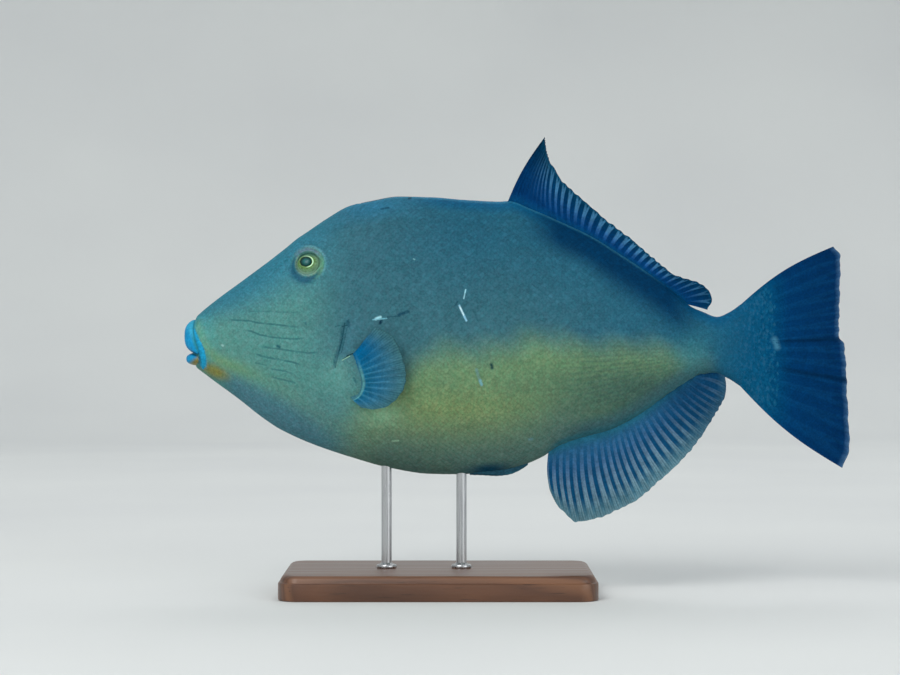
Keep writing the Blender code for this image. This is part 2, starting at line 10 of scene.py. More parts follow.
import bpy
import numpy as np
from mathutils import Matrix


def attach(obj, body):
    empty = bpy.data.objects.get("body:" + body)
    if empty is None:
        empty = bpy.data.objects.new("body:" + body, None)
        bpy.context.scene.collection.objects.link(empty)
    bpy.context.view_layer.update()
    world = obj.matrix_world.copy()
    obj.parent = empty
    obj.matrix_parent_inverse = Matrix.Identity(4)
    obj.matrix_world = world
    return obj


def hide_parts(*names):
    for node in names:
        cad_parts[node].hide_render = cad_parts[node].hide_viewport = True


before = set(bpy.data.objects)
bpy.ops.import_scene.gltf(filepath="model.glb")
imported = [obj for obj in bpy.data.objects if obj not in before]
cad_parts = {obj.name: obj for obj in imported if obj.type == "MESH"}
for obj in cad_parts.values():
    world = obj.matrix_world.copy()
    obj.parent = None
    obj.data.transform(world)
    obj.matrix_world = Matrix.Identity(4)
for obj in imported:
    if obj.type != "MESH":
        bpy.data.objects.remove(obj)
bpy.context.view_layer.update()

MM = 0.001
TOTAL_LENGTH = 320.0
AXIS_HEIGHT = 119.0
GAP = 0.3
TUBE_SIDES = 16
SPECK_SIZE = 0.0014
SPECK_STRETCH = (1.0, 1.0, 0.7)

# Outlines of the body in the mid-plane, and the half widths of its sections
BACK = (
    (3, 10.9), (7, 15.1), (16.6, 23), (26.2, 30), (40.7, 40.6), (55.1, 51.9), (69.6, 61.8),
    (79.2, 67.1), (88.8, 69.5), (103.3, 71.8), (117.7, 71.4), (137, 69.9), (151.4, 69.3), (156, 69.6),
    (165.9, 66), (180.3, 59.8), (194.8, 53), (209.2, 44), (223.7, 34.4), (238.1, 23.6), (243.5, 18.6),
    (249, 16.2), (256, 13.8), (262.2, 16.2), (268, 20.2),
)
BELLY = (
    (3, -8.8), (7.9, -12.5), (14.2, -17.3), (26.2, -26), (37.3, -34.6), (46, -40.4), (60, -46.9),
    (79.2, -53.5), (98.5, -59), (117.7, -61.7), (134, -61.9), (143, -61), (152, -60.3), (159.2, -58.9),
    (170.7, -54.2), (180.3, -48.4), (190, -45), (204.4, -41), (218.9, -33.4), (233.3, -23.3),
    (242.9, -17), (248, -14.1), (254, -13.2), (260.8, -15.6), (268, -20.2),
)
HALF_WIDTH = (
    (3, 6.3), (7, 7.6), (16, 9.6), (26, 12), (41, 15.2), (55, 17.8), (70, 20.4), (85, 22.6), (103, 24),
    (120, 24.2), (140, 23.2), (160, 20.9), (180, 18), (200, 15), (219, 12.2), (233, 9.8), (245, 7.8),
    (256, 6.2), (268, 4),
)
WIDEST_LEVEL = (
    (3, 2), (26, 1), (55, -3), (80, -6), (103, -6), (140, -3), (180, 3), (219, 4), (256, 0.3), (268, 0),
)
BACK_KEEL = 1.1
BELLY_KEEL = 1.25
SNOUT_TIP = 3.6
SNOUT_ROUND = 6.2
SNOUT_LEVEL = 1.5
FLESH_START = 268.0
SKIN_END = 277.0

# Marks of the head
EYE_RADIUS = 6.5
EYE_OPENING = 5.3
EYE_PLACE = (59.7, 38.9)
EYE_HALF = (5.75, 4.85)
PUPIL_SHIFT = (-0.7, 1.0)
PUPIL_HALF = (3.05, 2.45)
GAZE_SIZE = 20.0
NOSTRILS = ((46.2, 37.8), (49.4, 40.2))
NOSTRIL_RADIUS = 0.65
# Rings of a nostril from its hole outwards: share of its size, height over the skin, and how much painted
# shade darkens it
NOSTRIL_PROFILE = (
    (0.15, -0.55, 1), (0.5, -0.35, 1), (0.75, 0.2, 0.4), (1, 0.3, 0), (1.35, 0.16, 0), (1.75, -0.1, 0),
)
CHEEK_GROOVES = (
    ((27.7, 16.4), (41.3, 16.1), (56.1, 15.5)),
    ((20.6, 12.3), (31.8, 11.7), (36.5, 10.7), (46, 9.8), (57, 8.5)),
    ((29.4, 7.3), (33, 6.8), (37.2, 5), (43.7, 3.8), (53.8, 3), (59, 3.5)),
    ((36.6, -0.4), (47.2, -1.8), (55.5, -3), (60.8, -3.6), (66.6, -2.9)),
    ((34.2, -3.6), (38.9, -5.4), (46.2, -6.6), (53, -7.9), (57.4, -9.4)),
    ((41.6, -11), (48.4, -12), (54.4, -13.7)),
    ((42.2, -14.9), (48.4, -16.3), (54.9, -17.9)),
)
GROOVE_STRENGTH = (0.45, 0.9, 0.85, 0.7, 0.85, 0.7, 0.6)
GILL_SLIT = ((72, -12), (72.8, -6.7), (74, -2.9), (75.4, 1), (76.4, 8.4), (77.6, 11.1))
EYE_GROOVE = ((44.4, 34.2), (46.8, 34.6), (49.4, 35.8), (50.8, 38))
UPPER_LIP = ((3.0, 0, 4.5), (7.0, 6.9, -2.5), (3.1, 7.9), (1.8, 2.0))
LOWER_LIP = ((3.9, 0, -6.5), (7.0, 6.4, -6.7), (3.1, 3.1), (1.7, 1.5))
LIP_FOLD = ((4.9, 7.4), (6.5, 3.5), (7.9, -0.3), (9.0, -4), (9.5, -7.6), (8.9, -11.3))
LIP_FOLD_HALF = (1.75, 0.7)

# First dorsal fin in its trough, the flap under the belly and the large scutes behind the gill slit
TROUGH = (
    (83.8, 0.9, 1.2), (85.4, 1.75, 3.3), (100, 1.6, 3.2), (118, 1.2, 2.4), (132, 0.9, 1.7), (137, 0.6, 0.7),
)
SPINES = (
    ((84.5, 1.3), (90, 1.35), (100, 1.1), (110, 0.75), (117, 0.35)),
    ((119, 0.7), (124, 0.55), (130, 0.3)),
)
PELVIC_FLAP = (
    (137, 0.3), (141, 0.9), (146, 1.6), (151, 2.1), (156, 2.2), (160, 1.7), (163, 1.0), (165, 0.4),
)
SCUTES = (
    (82.4, 9.6, 5, 4), (86.6, 8.8, 5, 4), (84.4, 5.8, 5, 4), (88.8, 5.4, 4.6, 3.6), (82.2, 2.6, 4.6, 3.8),
    (86.4, 2.2, 4.6, 3.6),
)

# Soft dorsal and anal fins: foot of the ray, its lean back from upright in degrees, and its length
DORSAL_RAYS = (
    (155.6, 30, 35.2), (161, 23.5, 31.4), (170.6, 9.3, 26.7), (175.4, 3, 24.5), (180.3, 3, 19.2),
    (185, 5, 16.5), (190, 12.6, 13.3), (199.6, 27, 9.8), (209.2, 42, 9), (218.9, 46, 7.4),
    (228.5, 58, 6.6), (238, 70, 12.8), (240.6, 83, 13.2), (242.5, 106, 10.4),
)
ANAL_RAYS = (
    (174.8, 2, 17.3), (177, 4, 26), (180.3, 5, 32.5), (185.2, 5.4, 38.6), (192.9, 8.4, 39.2),
    (199.6, 13.4, 37.3), (206.3, 18.2, 35.5), (213.1, 24.6, 32.3), (218.9, 32.9, 30.1),
    (228.5, 45, 26.5), (238.1, 54, 21.4), (243, 61, 18.6), (245, 70, 17), (246.3, 87, 14.8),
)
# Where the rays stand: number of the ray and its foot
DORSAL_FEET = (
    (0, 155.6), (5, 164.6), (10, 176.2), (15, 190.8), (20, 208), (24, 220.5), (27, 228.4), (30, 235.6),
    (32, 239.6), (34, 242.6),
)
ANAL_FEET = ((0, 174.8), (8, 200), (16, 220), (22, 235), (26, 243.5), (28, 246.3))
RAY_BOW = 0.05
WAVE = 1.5
WAVE_LENGTH = 46.0
TOOTH = 0.16

# Markings: the streak from the mouth along the chin, and the top of the pale flank
CHIN_STREAK = (
    (6.4, 10), (8.6, 4), (11.4, -2), (15.6, -6.4), (21.5, -9.2), (29, -11.8), (38, -15.5), (52, -24),
    (70, -37), (95, -44),
)
FLANK_EDGE = (
    (60, -34), (80, -26), (95, -18), (108, -13.4), (122.5, -6.8), (151.3, -4), (170.6, -1), (199.5, -1.8),
    (223.5, -4.2), (247.6, -7), (262, -9),
)
# Soft spots of colour, one of them painted light: middle s and h, reach back and up, strength
SPOTS = {
    # painted light: a pale patch on the flank under the pectoral fin, laid over the fin's shadow
    "fin_lee": (95, -32.5, 10, 7, 0.8),
    "opercle": (76, -11, 7, 8, 0.35),
    "peduncle": (243, -4, 9, 9, 0.45),
}
# Waves of the rear flank: where they meet and their step
FURROW_MEET = 290.0
FURROW_STEP = 0.026

# Tail fin: rays spread from the peduncle's end to the hind margin
TAIL_RAY_COUNT = 12
TAIL_START = 266.5
TAIL_MARGIN = (
    (0, 313.6, 47.6), (0.05, 315.6, 42.5), (0.25, 315.2, 21), (0.45, 314.7, 5), (0.52, 317.4, 0),
    (0.75, 318.8, -22), (0.95, 320, -50), (1, 317.8, -59),
)
TAIL_BOW = 2.9
TAIL_FLESH = 20.0
TAIL_CREASES = (5.2, 7.9)

# Paired fins: share of the root from top to bottom, foot s and h, slope in degrees, length seen from the side
PECTORAL_RAYS = (
    (0, 82.9, -3.4, 52, 15.2), (0.2, 84.6, -9, 34, 20.8), (0.4, 86, -13.5, 14, 20.8),
    (0.6, 86.9, -18, 2, 19.8), (0.8, 86, -21.8, -22, 14.8), (0.9, 84.6, -24, -37, 9.6),
    (1, 82.4, -25.5, -46, 4.8),
)
PECTORAL_RAY_COUNT = 13
PECTORAL_ROOT = ((80.4, 1), (83.2, -3.4), (85.4, -10.2), (86.4, -16.6), (85.2, -23.6), (81.8, -27.4))
PECTORAL_FLARE = math.radians(27)

# Display stand
BASE_SIZE = (150.0, 84.0, 12.0)
BASE_CENTRE_S = 122.0
BASE_CORNER = 10.0
ROD_RADIUS = 2.5
ROD_PLACES = (97.0, 133.0)

# Camera: how far it stands from the mid-plane, and what the photo's frame covers there
CAMERA_DISTANCE = 1150.0
FRAME_WIDTH = 433.1
FRAME_CENTRE = (-32.5, 122.8)


def smooth_through(points):
    """A function of the first number of each point: a smooth curve through the second, with no overshoot."""
    xs = np.array([p[0] for p in points], float)
    ys = np.array([p[1] for p in points], float)
    slopes = np.diff(ys) / np.diff(xs)
    tangents = np.concatenate([slopes[:1], np.zeros(len(xs) - 2), slopes[-1:]])
    for i in range(1, len(xs) - 1):
        before, after = slopes[i - 1], slopes[i]
        if before * after > 0:
            left, right = xs[i] - xs[i - 1], xs[i + 1] - xs[i]
            wide, narrow = left + 2 * right, 2 * left + right
            tangents[i] = (wide + narrow) / (wide / after + narrow / before)

    def value(x):
        x = np.asarray(x, float)
        i = np.clip(np.searchsorted(xs, x) - 1, 0, len(xs) - 2)
        step = xs[i + 1] - xs[i]
        t = np.clip((x - xs[i]) / step, 0, 1)
        return (
            ys[i] * (1 + 2 * t) * (1 - t) ** 2
            + step * tangents[i] * t * (1 - t) ** 2
            + ys[i + 1] * t * t * (3 - 2 * t)
            + step * tangents[i + 1] * t * t * (t - 1)
        )

    return value


def body_half(s):
    """Half the width of the body, and of the flesh that runs on into the tail fin behind it."""
    return half_width(s) * np.clip(1 - (s - FLESH_START) / TAIL_FLESH, 0, 1) ** (1.6 * (s > FLESH_START))


def rear_share(s):
    """How wide the skin is against its section, where it sinks into the tail fin."""
    return body_half(s) / half_width(s) * (1 - 0.07 * ease(s, TAIL_START, SKIN_END))


def column_of(rows, column):
    return smooth_through([(row[0], row[column]) for row in rows])


def ease(x, start, end):
    """0 at start and 1 at end, smooth between them."""
    t = np.clip((x - start) / (end - start), 0, 1)
    return t * t * (3 - 2 * t)


def hump(x, width):
    return np.exp(-((x / width) ** 2))


def unit(vectors):
    return vectors / np.linalg.norm(vectors, axis=-1, keepdims=True)


back = smooth_through(BACK)
belly = smooth_through(BELLY)
half_width = smooth_through(HALF_WIDTH)
widest_level = smooth_through(WIDEST_LEVEL)


def to_model(places):
    """Places on the fish, in metres in the model's frame."""
    return (np.asarray(places, float) + (-TOTAL_LENGTH / 2, 0, AXIS_HEIGHT)) * MM


def section(s, turn):
    """The body's surface at s, turn radians round its section from the right side over the back."""
    s, turn = np.broadcast_arrays(np.asarray(s, float), np.asarray(turn, float))
    level = widest_level(s)
    up = np.sin(turn)
    across = np.cos(turn)
    reach = np.where(up >= 0, back(s) - level, level - belly(s))
    keel = np.where(up >= 0, BACK_KEEL, BELLY_KEEL)
    side = half_width(s) * np.sign(across) * np.abs(across) ** keel
    return np.stack([s, side, level + reach * up], -1)


def side_at(s, h):
    """Half the body's width at s and h."""
    level = widest_level(s)
    above = h >= level
    reach = np.where(above, back(s) - level, level - belly(s))
    keel = np.where(above, BACK_KEEL, BELLY_KEEL)
    up = np.minimum(np.abs(h - level) / reach, 0.999)
    return half_width(s) * (1 - up * up) ** (keel / 2)


def on_skin(s, h, side, lift=0.0):
    """The body's surface at s and h on side 1 (right) or -1 (left), lifted off it, with its normal."""
    s, h = np.broadcast_arrays(np.asarray(s, float), np.asarray(h, float))
    step = 0.4
    along = (side_at(s + step, h) - side_at(s - step, h)) / (2 * step)
    upward = (side_at(s, h + step) - side_at(s, h - step)) / (2 * step)
    normal = unit(np.stack([-along, side * np.ones_like(s), -upward], -1))
    point = np.stack([s, side * side_at(s, h), h], -1)
    return point + np.asarray(lift)[..., None] * normal, normal


def path_distance(s, h, path):
    """How far (s, h) is above (+) or below (-) a path that runs back, and its share along the path."""
    path = np.array(path, float)
    lengths = np.linalg.norm(np.diff(path, axis=0), axis=1)
    run = np.concatenate([[0], np.cumsum(lengths)])
    best = np.full(np.shape(s), 1e6)
    share = np.zeros(np.shape(s))
    sign = np.ones(np.shape(s))
    for i, (a, b) in enumerate(zip(path, path[1:])):
        ahead = (b - a) / lengths[i]
        across = (s - a[0]) * -ahead[1] + (h - a[1]) * ahead[0]
        t = np.clip((s - a[0]) * ahead[0] + (h - a[1]) * ahead[1], 0, lengths[i])
        away = np.hypot(s - a[0] - t * ahead[0], h - a[1] - t * ahead[1])
        closer = away < best
        best = np.where(closer, away, best)
        share = np.where(closer, (run[i] + t) / run[-1], share)
        sign = np.where(closer, np.where(across < 0, -1, 1), sign)
    return sign * best, share


gill_place = smooth_through([(h, s) for s, h in GILL_SLIT])
trough_half = column_of(TROUGH, 1)
trough_depth = column_of(TROUGH, 2)
flank_edge = smooth_through(FLANK_EDGE)


def eye_distance(s, h):
    return np.hypot(s - EYE_PLACE[0], h - EYE_PLACE[1])


def furrow(s, h):
    """Waves of the rear flank that run together towards the tail, from -1 to 1."""
    spread = (h + 0.5) / (FURROW_MEET - s)
    shown = ease(s, 160, 205) * ease(s, 264, 248) * ease(h, -33, -24) * ease(h, 8, 1)
    return shown * np.sin(2 * math.pi * spread / FURROW_STEP + 0.8 * np.sin(0.07 * s))


def groove_field(s, h):
    """Distance to the nearest cheek groove, with a sign that changes only on a groove, and its strength."""
    field = np.full(np.shape(s), 50.0)
    strength = np.zeros(np.shape(s))
    for number, (path, full) in enumerate(zip(CHEEK_GROOVES, GROOVE_STRENGTH)):
        away, share = path_distance(s, h, path)
        closer = np.abs(away) < np.abs(field)
        field = np.where(closer, away * (-1) ** number, field)
        ends = ease(share, 0.0, 0.12) * ease(share, 1.0, 0.88)
        strength = np.where(closer, full * ends, strength)
    return field, strength


def relief(s, y, h):
    """How far the skin stands off the body's plain surface."""
    lift = np.zeros(np.shape(s))
    field, strength = groove_field(s, h)
    lift -= 0.26 * strength * hump(field, 0.5)
    behind = s - gill_place(h)
    ends = ease(h, -13.5, -9) * ease(h, 12.5, 8.5)
    fade = np.exp(-np.maximum(behind, 0) / (0.9 + 0.06 * np.clip(h + 12, 0, 26)))
    lift -= 1.25 * ends * ease(behind, -0.1, 0.4) * fade
    lift += 0.15 * ends * hump(np.minimum(behind + 0.5, 0), 2.5) * (behind < 0.2)
    away, share = path_distance(s, h, EYE_GROOVE)
    lift -= 0.6 * hump(away, 0.8) * ease(share, 0, 0.25) * ease(share, 1, 0.8)
    lift -= 0.7 * ease(eye_distance(s, h), 9.6, 8.6)
    lift += 0.5 * hump(eye_distance(s, h) - 11.5, 2.6) * ease(s, 48, 56)
    away, share = path_distance(s, h, PECTORAL_ROOT)
    mound = ease(away, 0.8, -0.6) * ease(away, -8.5, -1.2)
    lift += 1.75 * mound * ease(share, 0, 0.28) * ease(share, 1, 0.72)
    in_trough = (s > 82.5) & (s < 138) & (h > 40)
    wall = ease(np.abs(y), trough_half(s) + 0.25, trough_half(s) - 0.25)
    lift -= np.where(in_trough, trough_depth(s) * wall * ease(s, 83, 87) * ease(s, 138, 135), 0)
    lift += 0.12 * np.sin(0.11 * s + 0.5) * np.sin(0.09 * h + 1.0) * ease(s, 268, 255)
    lift += 0.12 * furrow(s, h)
    return lift


def masks(points):
    """How much of each marking, painted light and painted shade among them, a place on the skin has."""
    s, y, h = np.moveaxis(np.asarray(points, float), -1, 0)
    top, low = back(s), belly(s)
    t = np.clip((h - low) / (top - low), 0, 1)
    edge = flank_edge(s)
    behind = s - gill_place(h)
    chin, _ = path_distance(s, h, CHIN_STREAK)
    ochre = np.hypot((s - 14.8) / 6.8, (h + 12.4 + 0.34 * (s - 14.8)) / 3.4)
    field, strength = groove_field(s, h)
    away = eye_distance(s, h)
    angle = np.arctan2(h - EYE_PLACE[1], s - EYE_PLACE[0])
    edge = edge + 1.5 * ease(s, 165, 190) + 1.2 * np.sin(0.12 * s) + 0.9 * np.sin(0.31 * s + 0.2 * h)
    flank = ease(edge - h, -15 + 5 * ease(s, 160, 190), 9)
    flank = flank * ease(s + 0.75 * (-h - 10), 88, 118) * ease(s, 260, 230)
    wedge = 0.7 + 1.2 * ease(h, -12, 2)
    opened = 0.6 * ease(behind, -0.1, 0.4) * ease(behind, wedge + 0.4, wedge - 0.3)
    slit = np.maximum(hump(behind - 0.3, 0.4), opened)
    lip, share = path_distance(s, h, LIP_FOLD)
    low_left = np.cos(angle + 2.1)
    below = ease(low_left, 0.4, 1)
    spots = {
        name: strength * hump(s - mid_s, long) * hump(h - mid_h, high)
        for name, (mid_s, mid_h, long, high, strength) in SPOTS.items()
    }
    return spots | {
        "back": ease(t, 0.42, 0.95) * (0.25 + 0.75 * ease(s, 65, 145)),
        "brow": ease(t, 0.5, 0.85) * ease(s, 85, 50),
        "cheek": ease(s - 1.3 * np.clip(-h - 4, 0, 24), 84, 50) * ease(t, 0.95, 0.6),
        "muzzle": ease(s, 21, 7) * ease(h, -13, -4) * ease(h, 17, 9) * 0.6,
        "rear": ease(s, 140, 250),
        "flank": flank,
        "dusk": flank * ease(s, 125, 235) * (0.1 + 0.8 * ease(h, -2, -22)),
        "streak": flank * ease(s, 165, 200) * 0.4 * ease(furrow(s, h), -0.1, 0.9),
        "amber": flank * ease(h, -14, -32) * ease(s, 195, 130) * 0.3,
        "belly": ease(t, 0.26, 0.03) * ease(s, 62, 100) * ease(s, 205, 178),
        "throat": ease(t, 0.3, 0.1) * ease(s, 14, 26) * ease(s, 95, 60),
        "yellow": (
            (hump(chin, 2.1 + 0.055 * s) + 0.15 * hump(chin - 7, 8)) * ease(s, 4.5, 7)
            * (0.21 + 0.46 * ease(s, 44, 20)) * ease(s, 100, 80) * (0.65 + 0.35 * ease(s, 9, 17))
        ),
        "ochre": ease(ochre, 1.55, 0.25),
        "navy": ease(top - h, 21 + 5 * ease(s, 185, 208), 8) * ease(s, 158, 182) * ease(s, 253, 231),
        "crest": ease(top - h, 8, 1) * ease(s, 100, 130),
        "tail": ease(s, 246, 276),
        "dusk_base": ease(h - low, 12, 4) * ease(s, 172, 195) * ease(s, 258, 246),
        "sheath": (
            hump(h - low - 1.6, 1.7) * ease(s, 171, 180) * (0.3 + 0.7 * ease(s, 238, 215)) * ease(s, 256, 246)
        ),
        "nape": hump(s - 90, 18) * ease(top - h, 14, 3) * 0.5,
        "gill_field": ease(behind, 0, 1) * ease(behind, 11 + 0.3 * h, 4) * ease(h, -9, -2) * ease(h, 15, 10),
        # painted shade in the gill slit and in the wedge of its opening
        "gill": slit * ease(h, -12.5, -8.5) * ease(h, 12.6, 10.4),
        "patch": hump(s - 146, 10) * ease(h - low, 6, 1.5),
        # painted highlight: a pale line along the top edge of the back
        "ridge": hump(top - h - 0.6, 0.55) * ease(s, 60, 90) * ease(s, 235, 215) * 0.4,
        "olive": ease(away, 8.8, 7.4) * (0.4 + 0.6 * ease(np.cos(angle - 0.15), -0.3, 0.7)),
        "mauve": hump(away - 6.9, 1.1) * ease(np.sin(angle), 0.25, 0.85) * 0.85,
        "arc": hump(away - 8.6, 0.55) * ease(np.cos(angle - 0.6), 0.0, 0.8) * 0.5,
        # painted light: a pale ring on the eyelid's inner wall over its shade, brightest low and in front
        "rim": hump(away - 5.6, 0.5) * (0.3 + 0.7 * ease(np.cos(angle + 2.3), -0.5, 0.7)),
        "lid_shade": ease(away, 6.5, 5.9) * ease(np.sin(angle), 0.45, 0.9) * 0.75,
        "shade": hump(away - 6.9 - 0.8 * below, 0.9 + 1.4 * below) * ease(low_left, -0.3, 0.6) * 0.8,
        "lip": ease(np.abs(lip), 0.9 + 1.4 * share, 0.4 + 0.8 * share) * ease(share, 1.0, 0.9),
        "groove": field,
        "groove_strength": strength,
    }


def grid_faces(rows, columns, wrap=False):
    i = np.arange(rows - 1)[:, None]
    j = np.arange(columns if wrap else columns - 1)[None, :]
    k = (j + 1) % columns
    corners = (i * columns + j, i * columns + k, (i + 1) * columns + k, (i + 1) * columns + j)
    return np.stack(np.broadcast_arrays(*corners), -1).reshape(-1, 4)


class Shape:
    """Patches of places and faces that make one mesh, with named values for each place."""

    def __init__(self):
        self.points = []
        self.faces = []
        self.values = []
        self.count = 0

    def add(self, points, *faces, closed=False, **values):
        points = np.asarray(points, float).reshape(-1, 3)
        if closed and self.volume(points, faces) < 0:
            faces = [face[:, ::-1] for face in faces]
        self.points.append(points)
        self.faces += [np.asarray(face) + self.count for face in faces]
        self.values.append(values)
        self.count += len(points)

    @staticmethod
    def volume(points, faces):
        middle = points - points.mean(0)
        total = 0.0
        for face in faces:
            corners = [middle[face[:, i]] for i in range(face.shape[1])]
            for b, c in zip(corners[1:], corners[2:]):
                total += np.einsum("ij,ij->i", corners[0], np.cross(b, c)).sum()
        return total

    def gathered(self, name):
        """One value, or one pair, for each place of the whole mesh."""
        parts = []
        for points, values in zip(self.points, self.values):
            value = np.asarray(values.get(name, 0.0), float)
            wide = 2 if name.startswith("uv_") else 1
            full = np.zeros((len(points), wide))
            full[:] = value.reshape(-1, wide) if value.ndim else value
            parts.append(full)
        return np.concatenate(parts)

    def build(self, name, made_of, sharp=None):
        mesh = bpy.data.meshes.new(name)
        mesh.vertices.add(self.count)
        mesh.vertices.foreach_set("co", to_model(np.concatenate(self.points)).ravel())
        corners = np.concatenate([face.ravel() for face in self.faces])
        sizes = np.concatenate([np.full(len(face), face.shape[1]) for face in self.faces])
        mesh.loops.add(len(corners))
        mesh.polygons.add(len(sizes))
        mesh.polygons.foreach_set("loop_start", np.concatenate([[0], np.cumsum(sizes)[:-1]]))
        mesh.polygons.foreach_set("vertices", corners)
        mesh.update(calc_edges=True)
        names = sorted({key for values in self.values for key in values})
        for key in names:
            full = self.gathered(key)
            if key.startswith("uv_"):
                layer = mesh.uv_layers.new(name=key[3:])
                layer.uv.foreach_set("vector", full[corners].ravel())
            else:
                layer = mesh.attributes.new(key, "FLOAT", "POINT")
                layer.data.foreach_set("value", full[:, 0])
        mesh.shade_smooth()
        if sharp:
            mesh.set_sharp_from_angle(angle=math.radians(sharp))
        mesh.materials.append(made_of)
        piece = bpy.data.objects.new(name, mesh)
        bpy.context.scene.collection.objects.link(piece)
        return piece


def full_turn(count):
    """Turns of one full circle, without its end."""
    return np.linspace(0, 2 * math.pi, count, endpoint=False)


def sideways(half):
    """Steps of half to the fish's right."""
    return np.stack([0 * half, half, 0 * half], -1)


def sided(word, side):
    return f"{word}_{'right' if side > 0 else 'left'}"


def off_ray(number):
    """How far a place along a fin is from the nearest ray, in steps from ray to ray."""
    return number - np.round(number)


def fan(ring, centre):
    """Triangles from a ring of point numbers to one point."""
    ring = np.asarray(ring)
    return np.stack([ring, np.roll(ring, -1), np.full(len(ring), centre)], -1)


def capped(rings, poles=None):
    """Places and faces of a tube of rings, closed by fans to its poles or the middles of its end rings."""
    rings = np.asarray(rings, float)
    rows, columns = rings.shape[:2]
    count = rows * columns
    poles = rings[[0, -1]].mean(1) if poles is None else poles
    ends = fan(range(columns)[::-1], count), fan(range(count - columns, count), count + 1)
    points = np.concatenate([rings.reshape(-1, 3), poles])
    return points, grid_faces(rows, columns, wrap=True), np.concatenate(ends)


def tube(middles, first, second):
    """Places and faces of a closed tube: round each middle an ellipse spanned by first and second."""
    turns = full_turn(TUBE_SIDES)[:, None]
    rings = middles[:, None] + np.cos(turns) * first[:, None] + np.sin(turns) * second[:, None]
    return capped(rings, middles[[0, -1]])


def two_sided(shape, middle, offset, **values):
    """Adds a closed sheet of middle places, offset to both sides; each value is given once for each place."""
    columns, rows = middle.shape[:2]
    count = columns * rows
    face = grid_faces(columns, rows)
    rim = [i * rows for i in range(columns)] + [(columns - 1) * rows + j for j in range(1, rows)]
    rim += [i * rows + rows - 1 for i in range(columns - 2, -1, -1)] + list(range(rows - 2, 0, -1))
    rim = np.array(rim)
    after = np.roll(rim, -1)
    edge = np.stack([after, rim, rim + count, after + count], -1)
    points = np.concatenate([(middle + offset).reshape(-1, 3), (middle - offset).reshape(-1, 3)])
    doubled = {}
    for key, value in values.items():
        flat = np.asarray(value, float).reshape(count, -1)
        doubled[key] = np.concatenate([flat, flat])
    quads = np.concatenate([face, face[:, ::-1] + count, edge])
    shape.add(points, quads, closed=True, **doubled)


def place_map(points, side):
    """(s, h) of each place as a map, with the right side moved off the marks of the left."""
    points = np.asarray(points, float).reshape(-1, 3)
    shift = np.where(np.asarray(side) > 0, 4.0, 0.0)
    return np.stack([points[:, 0] / TOTAL_LENGTH + shift, points[:, 2] / TOTAL_LENGTH + 0.5], -1)


# Materials


def tone(red, green, blue):
    """A colour given as it shows on a screen, 0 to 255, for a shader."""
    shares = [value / 255 for value in (red, green, blue)]
    return tuple(c / 12.92 if c <= 0.04045 else ((c + 0.055) / 1.055) ** 2.4 for c in shares) + (1.0,)


class Tree:
    """A node tree whose nodes are added by short calls that return sockets."""

    def __init__(self, tree):
        self.tree = tree

    def node(self, kind, **settings):
        made = self.tree.nodes.new(kind)
        for key, value in settings.items():
            setattr(made, key, value)
        return made

    def feed(self, socket, value):
        if isinstance(value, bpy.types.NodeSocket):
            self.tree.links.new(value, socket)
        else:
            socket.default_value = value

    def attribute(self, name):
        return self.node("ShaderNodeAttribute", attribute_name=name).outputs["Fac"]

    def places(self):
        return self.node("ShaderNodeTexCoord").outputs["Object"]

    def uv(self, name):
        return self.node("ShaderNodeUVMap", uv_map=name).outputs["UV"]

    def math(self, operation, *values, clamp=False):
        made = self.node("ShaderNodeMath", operation=operation, use_clamp=clamp)
        for socket, value in zip(made.inputs, values):
            self.feed(socket, value)
        return made.outputs[0]

    def product(self, first, *others, clamp=False):
        for other in others:
            first = self.math("MULTIPLY", first, other, clamp=clamp)
        return first

    def vector(self, operation, *values):
        made = self.node("ShaderNodeVectorMath", operation=operation)
        for socket, value in zip(made.inputs, values):
            self.feed(socket, value)
        return made.outputs["Value" if operation in ("LENGTH", "DOT_PRODUCT") else "Vector"]

    def scaled(self, vector, factor):
        made = self.node("ShaderNodeVectorMath", operation="SCALE")
        self.feed(made.inputs[0], vector)
        self.feed(made.inputs["Scale"], factor)
        return made.outputs[0]

    def span(self, value, low, high, start=0.0, end=1.0, way="SMOOTHSTEP"):
        """value from low..high onto start..end."""
        made = self.node("ShaderNodeMapRange", interpolation_type=way)
        for socket, number in zip(made.inputs, (value, low, high, start, end)):
            self.feed(socket, number)
        return made.outputs[0]

    def noise(self, size, detail=2.0, vector=None, stretch=None):
        """Noise whose grains are about size metres."""
        vector = vector or self.places()
        if stretch:
            vector = self.vector("MULTIPLY", vector, stretch)
        made = self.node("ShaderNodeTexNoise")
        self.feed(made.inputs["Vector"], vector)
        made.inputs["Scale"].default_value = 1 / size
        made.inputs["Detail"].default_value = detail
        return made.outputs["Fac"]

    def mix(self, factor, first, second, blend="MIX"):
        made = self.node("ShaderNodeMix", data_type="RGBA", blend_type=blend)
        for index, value in ((0, factor), (6, first), (7, second)):
            self.feed(made.inputs[index], value)
        return made.outputs[2]

    def ramp(self, value, *stops):
        """Colours between stops, each given by its place and its tone as it shows on a screen."""
        return self.shares(value, *((place, tone(*shown)) for place, *shown in stops))

    def shares(self, value, *stops):
        made = self.node("ShaderNodeValToRGB")
        band = made.color_ramp.elements
        while len(band) < len(stops):
            band.new(0.5)
        for element, (place, colour) in zip(band, stops):
            element.position = place
            element.color = colour
        self.feed(made.inputs["Fac"], value)
        return made.outputs["Color"]

    def varied(self, colour, value, low, high, share=1.0):
        """The colour times low to high, each one or three numbers, as the value rises through its middle."""
        ends = [(*np.broadcast_to(end, 3).tolist(), 1) for end in (low, high)]
        factor = self.shares(value, (0.36, ends[0]), (0.64, ends[1]))
        return self.mix(share, colour, factor, "MULTIPLY")

    def flecked(self, colour, share):
        """The colour with the small pale flecks of the tail's root."""
        speck = self.noise(SPECK_SIZE, stretch=SPECK_STRETCH)
        factor = self.product(self.span(speck, 0.5, 0.64, 0.0, 0.3), share)
        return self.mix(factor, colour, tone(48, 104, 136))


